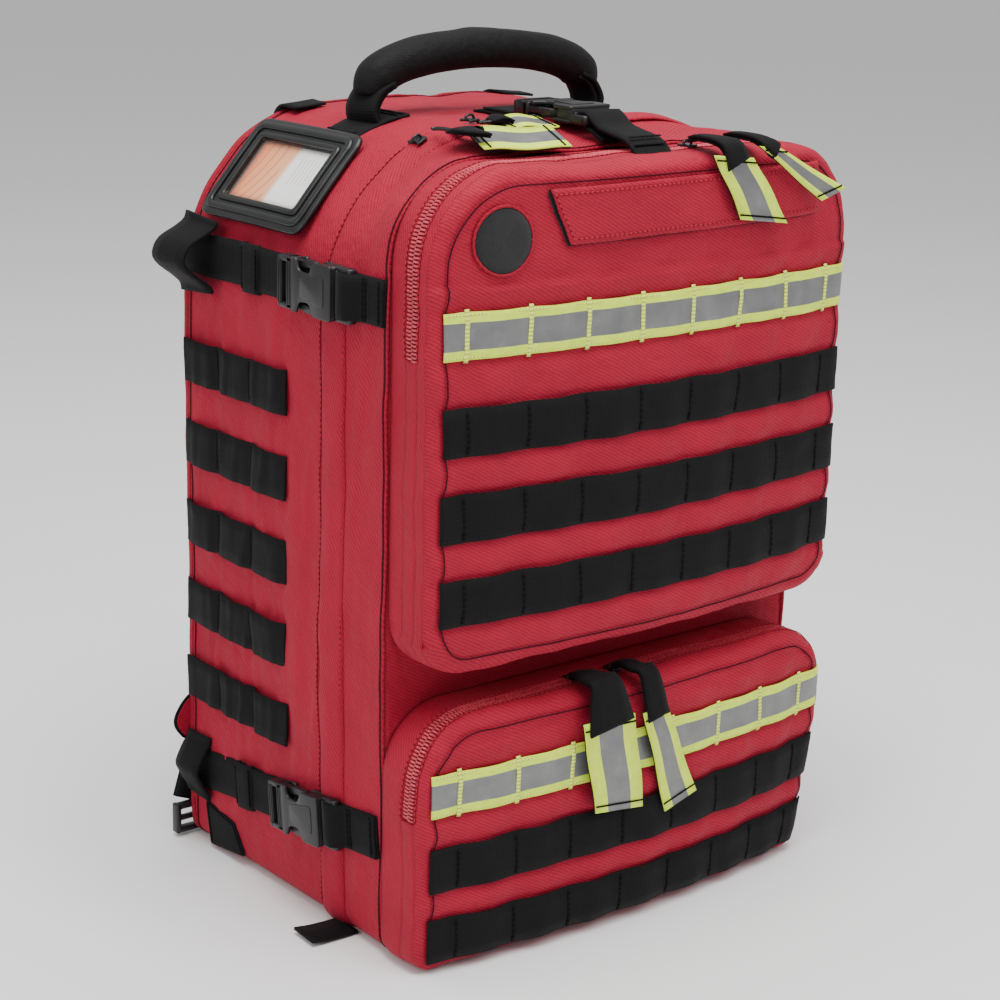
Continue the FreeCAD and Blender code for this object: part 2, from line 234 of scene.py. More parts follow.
def moulded(name, colour, rough=0.42, grain=900.0, bright=1.5):
    """Moulded plastic with a fine spark-eroded grain and rubbed patches."""
    n = Nodes(name)
    place = n.place()
    fine = n.noise(place, grain, 2.0)
    cloud = n.noise(place, 45.0, 4.0)
    shade = n.ramp(cloud, [(0.3, scaled(colour, 0.8)), (0.75, scaled(colour, bright))])
    gloss = n.math("MULTIPLY_ADD", cloud, 0.22, rough - 0.08)
    return n.surface(shade, gloss, n.bump(fine, 0.18, 0.0003), Specular_IOR_Level=0.45)


def mesh_cloth(name, colour):
    """Open spacer mesh with a regular field of small holes."""
    n = Nodes(name)
    cells = n.add("ShaderNodeTexVoronoi", Scale=330.0, Randomness=0.25)
    n.link(n.uv(), cells.inputs["Vector"])
    holes = n.ramp(cells.outputs["Distance"], [(0.16, (0, 0, 0)), (0.42, (1, 1, 1))])
    value = n.add("ShaderNodeRGBToBW")
    n.link(holes, value.inputs[0])
    fuzz = n.noise(n.uv(), 700.0, 2.0)
    tone = n.math("MULTIPLY", value.outputs[0], n.math("MULTIPLY_ADD", fuzz, 0.6, 0.6))
    shade = n.ramp(tone, [(0.0, scaled(colour, 0.2)), (0.9, scaled(colour, 1.5))])
    return n.surface(shade, None, n.bump(value.outputs[0], 0.8, 0.0008), Roughness=0.85,
                     Sheen_Weight=0.2)


def pile(name, colour):
    """Hook-and-loop pile: matte, hairy and very dark."""
    n = Nodes(name)
    uv = n.uv()
    hair = n.noise(uv, 1100.0, 4.0, 0.8)
    patch = n.noise(uv, 120.0, 3.0)
    tone = n.blend(hair, 0.8, patch, 0.3)
    shade = n.ramp(tone, [(0.3, scaled(colour, 0.5)), (0.9, scaled(colour, 1.9))])
    return n.surface(shade, None, n.bump(hair, 0.9, 0.0008), Roughness=0.95, Sheen_Weight=0.1)


def glassbead(name):
    """Retroreflective silver: bright grey with a fine bead grain and faint handling marks."""
    n = Nodes(name)
    uv = n.uv()
    bead = n.noise(uv, 1600.0, 2.0)
    smear = n.noise(uv, 70.0, 4.0)
    tone = n.blend(bead, 0.35, smear, 0.65)
    shade = n.ramp(tone, [(0.25, (0.12, 0.125, 0.125)), (0.55, (0.19, 0.195, 0.19)),
                          (0.85, (0.30, 0.305, 0.30))])
    rough = n.math("MULTIPLY_ADD", smear, 0.2, 0.32)
    return n.surface(shade, rough, n.bump(bead, 0.25, 0.0003), Metallic=0.35)


def lime_cloth(name):
    n = Nodes(name)
    weave = threads(n, 0.0009, 0.0009)
    cloud = n.noise(n.uv(), 160.0, 3.0)
    tone = n.blend(weave, 0.4, cloud, 0.6)
    shade = n.ramp(tone, [(0.15, (0.46, 0.60, 0.012)), (0.5, (0.66, 0.84, 0.040)),
                          (0.9, (0.80, 0.92, 0.14))])
    # The weak emission is painted light: it makes the lime tape glow, though it is no lamp.
    return n.surface(shade, None, n.bump(weave, 0.4, 0.0003), Roughness=0.7,
                     Emission_Color=(0.6, 0.9, 0.05, 1.0), Emission_Strength=0.12)


def stitched(name, thread, ground, pitch=0.0034):
    """A run of lock stitches: thread that dips into the cloth at each needle hole."""
    n = Nodes(name)
    wave = n.wave(n.split(n.uv())[0], pitch)
    fleck = n.noise(n.uv(), 1500.0, 1.0)
    shade = n.ramp(n.math("MULTIPLY_ADD", fleck, 0.2, wave),
                   [(0.12, ground), (0.32, thread), (1.0, scaled(thread, 1.5))])
    return n.surface(shade, None, n.bump(wave, 0.5, 0.0004), Roughness=0.85,
                     Specular_IOR_Level=0.05)


def coil_nylon(name, colour):
    n = Nodes(name)
    fuzz = n.noise(n.place(), 700.0, 2.0)
    shade = n.ramp(fuzz, [(0.3, scaled(colour, 0.6)), (0.7, scaled(colour, 1.35))])
    return n.surface(shade, None, n.bump(fuzz, 0.1, 0.0002), Roughness=0.33,
                     Specular_IOR_Level=0.6)


def card_print(name):
    """Generic insert: an orange field, a pale field and grey rules."""
    n = Nodes(name)
    u, v, _ = n.split(n.uv())
    bend = n.math("MULTIPLY_ADD", n.math("SINE", n.math("MULTIPLY", v, 34.0)), 0.004, u)
    fields = n.ramp(n.math("MULTIPLY", bend, 14.0),
                    [(0.0, (0.70, 0.12, 0.004)), (0.16, (0.85, 0.27, 0.05)),
                     (0.50, (0.85, 0.36, 0.14)), (0.56, (0.90, 0.88, 0.85))])
    bars = n.math("GREATER_THAN", n.math("SINE", n.math("MULTIPLY", u, 2 * math.pi / 0.0034)), 0.35)
    inside = n.math("MULTIPLY", n.math("GREATER_THAN", u, 0.043), n.math("LESS_THAN", u, 0.064))
    inside = n.math("MULTIPLY", inside, n.math("GREATER_THAN", v, 0.006))
    inside = n.math("MULTIPLY", inside, n.math("LESS_THAN", v, 0.024))
    grey = n.add("ShaderNodeMix", data_type="RGBA", blend_type="MULTIPLY")
    n.link(n.math("MULTIPLY", n.math("MULTIPLY", bars, inside), 0.5), grey.inputs[0])
    n.link(fields, grey.inputs[6])
    speck = n.ramp(n.noise(n.uv(), 300.0, 2.0), [(0.3, (0.42, 0.42, 0.42)), (0.7, (0.5, 0.5, 0.5))])
    n.link(speck, grey.inputs[7])
    arc = n.math("MULTIPLY_ADD", n.math("MULTIPLY", v, v), 9.0, u)
    streak = n.math("GREATER_THAN", n.math("SINE", n.math("MULTIPLY", arc, 820.0)), 0.80)
    streak = n.math("MULTIPLY", streak, n.math("LESS_THAN", u, 0.030))
    stripe = n.add("ShaderNodeMix", data_type="RGBA")
    stripe.inputs[7].default_value = (0.62, 0.11, 0.006, 1.0)
    n.link(n.math("MULTIPLY", streak, 0.8), stripe.inputs[0])
    n.link(grey.outputs[2], stripe.inputs[6])
    return n.surface(stripe.outputs[2], None, n.bump(n.noise(n.uv(), 60.0), 0.3, 0.001), Roughness=0.5)


def clear_film(name):
    n = Nodes(name)
    place = n.place()
    wave = n.noise(place, 35.0, 2.0)
    scuff = n.noise(place, 260.0, 4.0)
    rough = n.math("MULTIPLY_ADD", scuff, 0.2, 0.05)
    return n.surface(None, rough, n.bump(wave, 0.35, 0.002), Base_Color=(0.95, 0.96, 0.97, 1.0),
                     Alpha=0.05, Specular_IOR_Level=0.4, IOR=1.45)


RED = (0.365, 0.0110, 0.0335)
MAT = {
    "red": nylon("red_nylon", RED),
    "tape": nylon("zip_tape_nylon", (0.33, 0.008, 0.026), 0.0008, 0.6),
    "lining": nylon("black_lining", (0.026, 0.026, 0.029), 0.0011),
    "web": ribbed("black_webbing", (0.0042, 0.0040, 0.0046)),
    "sleeve": nylon("handle_nylon", (0.0058, 0.0058, 0.0064), 0.0010, 0.4),
    "plastic": moulded("black_acetal", (0.0085, 0.0085, 0.0095), 0.36),
    "board": moulded("grey_polypropylene", (0.09, 0.09, 0.095), 0.55),
    "pvc": moulded("soft_pvc", (0.0085, 0.0088, 0.009), 0.30, 500.0, 1.7),
    "metal": moulded("black_enamel", (0.008, 0.008, 0.009), 0.24, 1500.0),
    "mesh": mesh_cloth("spacer_mesh", (0.030, 0.030, 0.033)),
    "pile": pile("loop_pile", (0.008, 0.008, 0.009)),
    "silver": glassbead("reflective_silver"),
    "lime": lime_cloth("lime_tape"),
    "seam": stitched("dark_seam", (0.030, 0.006, 0.010), (0.12, 0.008, 0.015)),
    "red_seam": stitched("red_seam", (0.30, 0.02, 0.035), (0.14, 0.008, 0.015)),
    "black_seam": stitched("black_seam", (0.0065, 0.0065, 0.007), (0.003, 0.003, 0.003)),
    "lime_seam": stitched("lime_seam", (0.60, 0.72, 0.12), (0.46, 0.56, 0.10), 0.0022),
    "coil": coil_nylon("red_coil", (0.56, 0.06, 0.09)),
    "card": card_print("insert_print"),
    "film": clear_film("window_film"),
}


# Mesh helpers -------------------------------------------------------------------------------

def linked(name, data):
    ob = bpy.data.objects.new(name, data)
    bpy.context.scene.collection.objects.link(ob)
    return ob


def make(name, verts, faces, mats, mat_index=None):
    """Mesh object from millimetre points. mats is one key or several."""
    me = bpy.data.meshes.new(name)
    me.from_pydata((np.asarray(verts, float) * MM).tolist(), [], [list(map(int, f)) for f in faces])
    me.update()
    ob = linked(name, me)
    for key in [mats] if isinstance(mats, str) else mats:
        me.materials.append(MAT[key])
    if mat_index is not None:
        me.polygons.foreach_set("material_index", np.asarray(mat_index, np.int32))
    me.polygons.foreach_set("use_smooth", [True] * len(me.polygons))
    return ob


def quads(rows, cols, wrap=False):
    faces = []
    for i in range(rows - 1):
        for j in range(cols if wrap else cols - 1):
            k = (j + 1) % cols
            faces.append((i * cols + j, i * cols + k, (i + 1) * cols + k, (i + 1) * cols + j))
    return faces


def sheet_uv(ob, uv):
    """Weave map from one (u, v) pair in millimetres per vertex."""
    layer = ob.data.uv_layers.new(name="weave")
    index = np.zeros(len(ob.data.loops), np.int32)
    ob.data.loops.foreach_get("vertex_index", index)
    layer.data.foreach_set("uv", (np.asarray(uv, float)[index] * MM).ravel())
    return ob


def box_uv(ob):
    """Weave map by the axis that each face looks along, for modelled solids."""
    me = ob.data
    layer = me.uv_layers.get("weave") or me.uv_layers.new(name="weave")
    co = np.zeros(len(me.vertices) * 3)
    me.vertices.foreach_get("co", co)
    co = co.reshape(-1, 3)
    uv = np.zeros((len(me.loops), 2))
    for p in me.polygons:
        axis = int(np.argmax(np.abs(np.array(p.normal))))
        pair = ((1, 2), (0, 2), (0, 1))[axis]
        for li in p.loop_indices:
            uv[li] = co[me.loops[li].vertex_index][list(pair)]
    layer.data.foreach_set("uv", uv.ravel())
    return ob


def run_length(points):
    """Distance along a path at each of its points."""
    steps = np.linalg.norm(np.diff(np.asarray(points, float), axis=0), axis=1)
    return np.concatenate([[0], np.cumsum(steps)])


def modify(ob, kind, **settings):
    m = ob.modifiers.new(kind.lower(), kind)
    for key, value in settings.items():
        setattr(m, key, value)
    return m


def apply_all(ob):
    """Replace the mesh by its evaluated self, so that what follows sees the final shape."""
    graph = bpy.context.evaluated_depsgraph_get()
    final = bpy.data.meshes.new_from_object(ob.evaluated_get(graph))
    ob.modifiers.clear()
    ob.data = final
    return ob


def thick(ob, t, offset=-1.0):
    modify(ob, "SOLIDIFY", thickness=t * MM, offset=offset, use_even_offset=True)
    return apply_all(ob)


def joined(name, parts):
    parts = [p for p in parts if p is not None]
    with bpy.context.temp_override(active_object=parts[0], selected_editable_objects=parts):
        bpy.ops.object.join()
    parts[0].name = name
    return parts[0]


def put(ob, body, slot, *nodes):
    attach(ob, body)
    if nodes:
        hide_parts(*nodes)
    return ob


def mirrored(ob, name):
    """A copy on the other side of the pack."""
    me = ob.data.copy()
    me.transform(Matrix.Scale(-1, 4, Vector((1, 0, 0))))
    me.flip_normals()
    return linked(name, me)


def both_sides(ob):
    other = mirrored(ob, ob.name + "_mirror")
    return joined(ob.name, [ob, other])


def fbm(p, scale, seed=0.0, octaves=2):
    q = Vector((p[0] / scale + seed, p[1] / scale - seed, p[2] / scale + 2 * seed))
    total = 0.0
    for i in range(octaves):
        total += noise.noise(q * (2 ** i)) / (1.7 ** i)
    return total


def bevel_box(x, y, z, mat, r=0.8, name="block"):
    verts = [(a, b, c) for a in x for b in y for c in z]
    faces = [(0, 1, 3, 2), (4, 6, 7, 5), (0, 4, 5, 1), (2, 3, 7, 6), (0, 2, 6, 4), (1, 5, 7, 3)]
    ob = make(name, verts, faces, mat)
    modify(ob, "BEVEL", width=r * MM, segments=2, limit_method="ANGLE")
    apply_all(ob)
    return box_uv(ob)


def plate(points, t, mat, r=0.5, name="plate", place=None):
    """Flat outline of (u, v) points, thickened along w from 0 to t and given soft edges."""
    n = len(points)
    verts = [(u, v, w) for w in (0, t) for u, v in points]
    faces = [tuple(range(n))[::-1], tuple(range(n, 2 * n))]
    faces += [(i, (i + 1) % n, n + (i + 1) % n, n + i) for i in range(n)]
    ob = make(name, verts, faces, mat)
    modify(ob, "BEVEL", width=r * MM, segments=2, limit_method="ANGLE", angle_limit=0.5)
    apply_all(ob)
    if place is not None:
        ob.data.transform(place)
    return box_uv(ob)


def lifted(ob, w):
    """Move a part up its own third axis by w millimetres."""
    ob.data.transform(Matrix.Translation((0, 0, w * MM)))
    return ob


def rounded(points, r, steps=4):
    """Round the corners of a closed (u, v) outline. r is one radius or one per corner."""
    out = []
    n = len(points)
    for i, p in enumerate(points):
        radius = r[i] if isinstance(r, (list, tuple)) else r
        a = Vector(points[i - 1]) - Vector(p)
        b = Vector(points[(i + 1) % n]) - Vector(p)
        if radius <= 0:
            out.append(tuple(p))
            continue
        half = a.angle(b) / 2
        cut = min(radius / math.tan(half), a.length * 0.48, b.length * 0.48)
        pa = Vector(p) + a.normalized() * cut
        pb = Vector(p) + b.normalized() * cut
        for k in range(steps + 1):
            t = k / steps
            out.append(tuple((1 - t) ** 2 * pa + 2 * t * (1 - t) * Vector(p) + t ** 2 * pb))
    return out


def ribbon(name, points, normals, width, t, mats, lift=0.3, lanes=2, crown=0.0, index=None):
    """Flat band along a path. normals point off the surface; lanes split its width."""
    p = np.asarray(points, float)
    n = np.asarray(normals, float)
    n /= np.linalg.norm(n, axis=1)[:, None]
    d = np.gradient(p, axis=0)
    d /= np.linalg.norm(d, axis=1)[:, None]
    side = np.cross(n, d)
    side /= np.linalg.norm(side, axis=1)[:, None]
    along = run_length(p)
    verts, uv = [], []
    across = np.linspace(-0.5, 0.5, lanes + 1)
    widths = np.broadcast_to(width, len(p))
    for i in range(len(p)):
        for s in across:
            bow = crown * (1 - (2 * s) ** 2)
            verts.append(p[i] + side[i] * s * widths[i] + n[i] * (lift + bow))
            uv.append((along[i], (s + 0.5) * widths[i]))
    cols = len(across)
    ob = make(name, verts, [f[::-1] for f in quads(len(p), cols)], mats, mat_index=index)
    sheet_uv(ob, uv)
    return thick(ob, t, 1.0)


def tack(points, normal, width=1.3, t=0.4, lift=0.0, m=None):
    """Black stitch line along points, moved by m if that is given."""
    line = ribbon("tack", points, [normal] * len(points), width, t, "black_seam", lift, lanes=1)
    if m is not None:
        line.data.transform(m)
    return line


def tube(name, points, radius, mat):
    """Round strand through a list of points, smoothed."""
    curve = bpy.data.curves.new(name, "CURVE")
    curve.dimensions = "3D"
    spline = curve.splines.new("NURBS")
    spline.points.add(len(points) - 1)
    for sp, p in zip(spline.points, points):
        sp.co = (p[0] * MM, p[1] * MM, p[2] * MM, 1.0)
    spline.order_u = 3
    spline.use_endpoint_u = True
    spline.resolution_u = 6
    curve.bevel_depth = radius * MM
    curve.bevel_resolution = 2
    curve.use_fill_caps = True
    ob = linked(name, curve)
    graph = bpy.context.evaluated_depsgraph_get()
    me = bpy.data.meshes.new_from_object(ob.evaluated_get(graph))
    bpy.data.objects.remove(ob)
    ob = linked(name, me)
    me.materials.clear()
    me.materials.append(MAT[mat])
    me.polygons.foreach_set("use_smooth", [True] * len(me.polygons))
    return box_uv(ob)


# Body surfaces ------------------------------------------------------------------------------

def loop(half, low, top, r_top, r_low, n_side=84, n_top=48, n_arc=26, n_foot=6):
    """Closed outline in XZ with outward normals. Starts at the middle of the bottom."""
    pts, nrm = [], []

    def line(a, b, n, normal):
        for k in range(n):
            t = k / n
            pts.append((a[0] + (b[0] - a[0]) * t, a[1] + (b[1] - a[1]) * t))
            nrm.append(normal)

    def arc(cx, cz, r, start, n):
        for k in range(n):
            a = math.radians(start + 90 * k / n)
            pts.append((cx + r * math.cos(a), cz + r * math.sin(a)))
            nrm.append((math.cos(a), math.sin(a)))

    line((0, low), (half - r_low, low), n_top // 2, (0, -1))
    arc(half - r_low, low + r_low, r_low, -90, n_foot)
    line((half, low + r_low), (half, top - r_top), n_side, (1, 0))
    arc(half - r_top, top - r_top, r_top, 0, n_arc)
    line((half - r_top, top), (-half + r_top, top), n_top, (0, 1))
    arc(-half + r_top, top - r_top, r_top, 90, n_arc)
    line((-half, top - r_top), (-half, low + r_low), n_side, (-1, 0))
    arc(-half + r_low, low + r_low, r_low, 180, n_foot)
    line((-half + r_low, low), (0, low), n_top // 2, (0, -1))
    return np.array(pts), np.array(nrm)


def skin(p, n):
    """How far the filled body stands off its plain outline at a base point."""
    x, y, z = p
    side = abs(n[0])
    up = max(0.0, n[1])
    depth = max(0.0, math.sin(math.pi * min(max((y + 106) / 214.0, 0), 1)))
    height = max(0.0, math.sin(math.pi * min(max(z / 420.0, 0), 1)))
    out = 3.2 * side * side * height ** 0.7 * depth ** 0.5
    out += 1.2 * up * up * depth ** 0.5 * (1 - (x / 170.0) ** 2)
    soft = min(1.0, max(0.0, (z - 6.0) / 40.0))
    out += 1.5 * fbm(p, 58.0, 1.3) * soft
    out += 0.8 * fbm((x, y * 1.4, z * 0.5), 22.0, 4.1, 3) * soft
    # Shallow folds that run down the side from the shoulder.
    fold = 1 - abs(noise.noise(Vector((y / 15.0 + z / 160.0, z / 130.0, x / 60.0 + 9.0))))
    out += 1.3 * side * soft * max(0.0, fold - 0.70) / 0.30
    if n[1] < -0.5:
        out = min(out, 0.0)
    # The identity pocket holds the cloth flat on the left shoulder.
    facing = 0.661 * n[1] - 0.751 * n[0]
    if facing > 0.925 and y > -14.5:
        out = min(out, 96.9 / facing - CORNER_R)
    return out


def pinch(y, z):
    """Side fabric drawn in at the webbing tacks."""
    out = 0.0
    for top in SIDE_ROWS:
        mid = top - WEB_H / 2
        d = abs(z - mid) - WEB_H / 2
        if -WEB_H / 2 <= d <= 14:
            for t in SIDE_TACKS:
                out -= 1.3 * math.exp(-((y - t) / 4.5) ** 2) * math.exp(-(max(d, 0) / 5.0) ** 2)
    return out


def side_point(y, z, lift=0.0):
    """Point on the right side panel's soft surface."""
    d = skin((HALF_W, y, z), (1, 0)) + pinch(y, z) + lift
    return (HALF_W + d, y, z)


def band(name, rings, mats, pinched=True):
    """Lofted fabric band. rings is a list of (y, outline arguments, extra inset)."""
    verts, uv = [], []
    for y, shape, inset in rings:
        pts, nrm = loop(*shape)
        along = run_length(pts)
        for (x, z), (nx, nz), s in zip(pts, nrm, along):
            d = skin((x, y, z), (nx, nz)) - inset
            if pinched and abs(nx) > 0.99:
                d += pinch(y, z)
            verts.append((x + nx * d, y, z + nz * d))
            uv.append((s, y))
    return sheet_uv(make(name, verts, quads(len(rings), len(pts), wrap=True), mats), uv)


def grounded(ob):
    """Keep the cloth that folds under the body on the floor."""
    for v in ob.data.vertices:
        v.co.z = max(v.co.z, 0.0)
    return ob


BODY = (HALF_W, 0.0, TOP, CORNER_R, FOOT_R)
LID_FRONT = (HALF_W + 1, 0.0, LID_TOP, LID_R, FOOT_R)


def lid_shape(t):
    """Outline of the lid at t from 0 at the main zip to 1 at its front seam."""
    return tuple(a + (b - a) * t for a, b in zip(BODY, LID_FRONT))


def loop_path(shape, y, start=0.0, end=1.0, extra=0.0):
    """Points and 3-D normals on the soft body outline at one y, for seams and zips."""
    pts, nrm = loop(*shape)
    count = len(pts)
    out, normals = [], []
    for k in range(int(count * start), int(count * end) + 1):
        (x, z), (nx, nz) = pts[k % count], nrm[k % count]
        d = skin((x, y, z), (nx, nz)) + extra
        out.append((x + nx * d, y, z + nz * d))
        normals.append((nx, 0.0, nz))
    return out, normals


def seam_line(name, points, normals, width=0.9, mat="seam", lift=0.15, t=0.35):
    return ribbon(name, points, normals, width, t, mat, lift, lanes=1)


# Main body ----------------------------------------------------------------------------------

gusset_y = np.concatenate([[REAR_Y - 0.6], np.linspace(REAR_Y - 3, -38, 44), [-41.7]])
gusset_inset = [1.6] + [0.0] * (len(gusset_y) - 2) + [0.4]
gusset = band("main_gusset_cloth", [(y, BODY, i) for y, i in zip(gusset_y, gusset_inset)], "red")
thick(gusset, 1.8)
trim = []
for y, mat, w in ((-38.6, "red_seam", 0.8), (99.0, "seam", 0.9)):
    trim.append(seam_line("trim", *loop_path(BODY, y, 0.02, 0.98), w, mat))
binding_path = loop_path(BODY, REAR_Y - 1.2, 0.0, 1.0, -0.4)
trim.append(ribbon("binding", *binding_path, 4.0, 0.8, "tape", 0.1, lanes=2))
put(grounded(joined("main_gusset_cloth", [gusset] + trim)), "pack", "red_fabric", "main_gusset")


def zip_rows(name, points, normals, side, size=2.3, pitch=2.1):
    """Teeth of one zip half along a path. side is +1 or -1 towards its own tape."""
    p = np.asarray(points, float)
    n = np.asarray(normals, float)
    s = run_length(p)
    stops = np.arange(pitch * (0.25 if side > 0 else 0.75), s[-1], pitch)
    verts, faces = [], []
    ring = [(-0.75, -0.6), (-0.75, 0.35), (0.0, 0.95), (0.75, 0.35), (0.75, -0.6)]
    for k in stops:
        q = np.array([np.interp(k, s, p[:, a]) for a in range(3)])
        m = np.array([np.interp(k, s, n[:, a]) for a in range(3)])
        q2 = np.array([np.interp(min(k + 1, s[-1]), s, p[:, a]) for a in range(3)])
        q1 = np.array([np.interp(max(k - 1, 0), s, p[:, a]) for a in range(3)])
        m /= np.linalg.norm(m)
        d = (q2 - q1) / max(np.linalg.norm(q2 - q1), 1e-6)
        w = np.cross(d, m) * side
        base = len(verts)
        for reach, bow in ((-0.35, -0.35), (size * 0.35, 0.35), (size * 0.8, 0.35), (size * 1.25, -0.35)):
            for a, b in ring:
                verts.append(q + d * a * 0.86 + m * (b + bow) + w * reach)
        for r in range(3):
            for c in range(5):
                e = (c + 1) % 5
                near, far = base + r * 5, base + r * 5 + 5
                faces.append((near + c, near + e, far + e, far + c))
        faces.append(tuple(base + i for i in range(5)))
        faces.append(tuple(base + 15 + i for i in reversed(range(5))))
    return box_uv(make(name, verts, faces, "coil"))


# The two halves of the main zip sit under a fold of the red cloth, one on each body.
MAIN_START, MAIN_END = 0.095, 0.905
for body, y0, y1, sign, node in (("pack", -41.7, -47.8, 1, "main_zip_tape_rear"),
                                 ("lid", -54.3, -48.2, -1, "main_zip_tape_lid")):
    rings = [(y0, BODY, 0.6), ((y0 + y1) / 2, BODY, 0.9), (y1, BODY, 1.0)]
    tape = thick(band(node + "_cloth", rings, "tape", False), 0.7)
    path = loop_path(BODY, SEAM_Y, MAIN_START, MAIN_END, -0.2)
    rows = zip_rows("coil", *path, sign)
    put(grounded(joined(node + "_cloth", [tape, rows])), body, "zip_coil", node)

# Lid gusset: a cloth ring whose rear edge folds over the main zip as a storm flap.
lid_y = np.concatenate([[-55.2], np.linspace(-58, -96, 16), [LID_Y + 0.2]])
rings = []
for y in lid_y:
    t = min(1.0, max(0.0, (y + 54.3) / (LID_Y + 54.3)))
    rings.append((y, lid_shape(t), 0.5 if y > -56 else 0.0))
lid_cloth = band("lid_gusset_cloth", rings, "red", False)
thick(lid_cloth, 1.8)


def flap_path(y, out):
    return loop_path(lid_shape(0.0), y, MAIN_START - 0.02, MAIN_END + 0.02, out)


flap_rows = [flap_path(y, out)[0] for y, out in
             ((-62.0, 0.25), (-58.0, 1.2), (-52.0, 2.3), (-46.0, 2.6), (-43.4, 2.1), (-42.8, 1.4))]
flap_verts = [p for row in flap_rows for p in row]
flap_len = len(flap_rows[0])
storm = make("storm_flap", flap_verts, [f[::-1] for f in quads(len(flap_rows), flap_len)], "red")
along = run_length(flap_rows[0])
sheet_uv(storm, [(along[j], row[j][1]) for row in flap_rows for j in range(flap_len)])
thick(storm, 1.0, 0.0)
lid_trim = [seam_line("trim", *flap_path(-60.4, 0.55), 0.8, "red_seam")]
front_path = loop_path(lid_shape(0.96), -97.2, 0.0, 1.0, 0.0)
lid_trim.append(seam_line("trim", *front_path, 1.1, "seam"))
lid_ring = grounded(joined("lid_gusset_cloth", [lid_cloth, storm] + lid_trim))
put(lid_ring, "lid", "red_fabric", "lid_gusset")


def filled_outline(shape, rows, cols):
    """Grid of points that covers a body outline, with the columns running across it."""
    half, low, top, r_top, r_low = shape
    out = []
    for i in range(rows + 1):
        s = i / rows
        z = low + (top - low) * (0.5 - 0.5 * math.cos(math.pi * s))
        w = edge_half(half, low, top, r_top, r_low, z)
        out.append([(w * u, z) for u in np.linspace(-1, 1, cols + 1)])
    return out


def edge_half(half, low, top, r_top, r_low, z):
    """Half width of a rounded outline at height z."""
    if z > top - r_top:
        d = min(r_top, z - (top - r_top))
        return half - r_top + math.sqrt(max(0.0, r_top ** 2 - d ** 2))
    if z < low + r_low:
        d = min(r_low, low + r_low - z)
        return half - r_low + math.sqrt(max(0.0, r_low ** 2 - d ** 2))
    return half


def panel(name, shape, depth, mats, rows=90, cols=70, offset=1.0, t=1.6):
    """Panel of cloth across an outline; depth(x, z) gives its y."""
    grid = filled_outline(shape, rows, cols)
    verts = [(x, depth(x, z), z) for row in grid for x, z in row]
    ob = make(name, verts, quads(rows + 1, cols + 1), mats)
    sheet_uv(ob, [(x, z) for row in grid for x, z in row])
    return thick(ob, t, offset)


def gap_depth(x, z):
    """The lid panel shows between the pockets and is drawn into folds there."""
    near = math.exp(-((z - 162.0) / 12.0) ** 2)
    fold = 2.2 * fbm((x * 0.5, 0, z * 1.8), 17.0, 3.0, 3)
    return LID_Y + 0.9 + near * max(-1.2, min(1.2, fold))


lid_panel = panel("lid_panel_cloth", (154.4, 2.0, 446.0, 55.0, 12.0), gap_depth, "red", 120, 70,
                  -1.0, 1.6)
put(lid_panel, "lid", "red_fabric", "lid_panel")

back = panel("back_panel_cloth", (151.5, 2.5, 453.0, 94.0, 12.0),
             lambda x, z: 104.2 + 0.5 * fbm((x, 0, z), 45.0, 8.0), "lining", 90, 60, 1.0, 1.6)
back_trim = []
for zc in (112.0, 120.0, 340.0):
    span = np.linspace(-138, 138, 40)
    back_trim.append(seam_line("trim", [(x, 104.4, zc - 8) for x in span],
                               [(0, 1, 0)] * 40, 0.8, "black_seam"))
put(joined("back_panel_cloth", [back] + back_trim), "pack", "black_fabric", "back_panel")


# Pockets ------------------------------------------------------------------------------------

def arc_y(x):
    """Front face of both pockets in plan: shallow arc with its apex in the middle."""
    return FRONT_EDGE_Y - BULGE * (1 - (x / HALF_W) ** 2)


def front_relief(pk, x, z):
    """How far the pocket front stands forward of its arc, with rows, tacks and wrinkles."""
    mid_h = max(0.0, math.sin(math.pi * (z - pk["low"]) / (pk["top"] - pk["low"])))
    out = 1.0 * mid_h * (1 - (x / HALF_W) ** 2)
    out += 1.5 * fbm((x, 40.0, z), 56.0, 2.2)
    out += 0.85 * fbm((x * 0.7, 7.0, z * 1.2), 20.0, 6.1, 3)
    rows = [r - WEB_H / 2 for r in pk["black"]] + [pk["bright"] - REFLECTIVE_H / 2]
    nearest = min(rows, key=lambda r: abs(z - r))
    gap = abs(z - nearest) - WEB_H / 2
    puff = max(0.0, math.sin(math.pi * min(max(gap / 21.0, 0), 1)))
    if min(rows) - 30 < z < max(rows) + 26:
        phase = 0.5 - 0.5 * math.cos(2 * math.pi * (x - FRONT_TACKS[0]) / TACK)
        out += 2.0 * puff * (0.35 + 1.0 * phase)
        edge = math.exp(-((gap - 1.0) / 3.0) ** 2)
        out -= 1.3 * edge * (1 - phase)
    return out


def front_point(pk, x, z, lift=0.0):
    """Point on a pocket's front and its turned edge, lift mm in front of the cloth."""
    d, _ = edge_distance(pk, x, z)
    k = min(1.0, max(0.0, d) / FILLET)
    face = arc_y(x) - front_relief(pk, x, z)
    return (x, FACE_START + (face - FACE_START) * math.sqrt(1 - (1 - k) ** 2) - lift, z)


def front_normal(x):
    slope = 2 * BULGE * x / HALF_W ** 2
    n = np.array([slope, -1.0, 0.0])
    return n / np.linalg.norm(n)


def pocket_skin(pk, p, n):
    """Soft side wall of a pocket: stands out a little, wrinkles, sags under its load."""
    x, y, _ = p
    depth = math.sin(math.pi * min(max((y + 99) / -36.0, 0), 1)) ** 0.5
    out = 0.8 * depth + 1.3 * fbm(p, 36.0, 5.5, 3)
    if n[1] < -0.3:
        out += pk["sag"] * depth * (0.7 + 0.5 * fbm((x, 0, 0), 60.0, 1.0))
        out = min(out, (pk["low"] - 0.4) / -n[1])
    return out


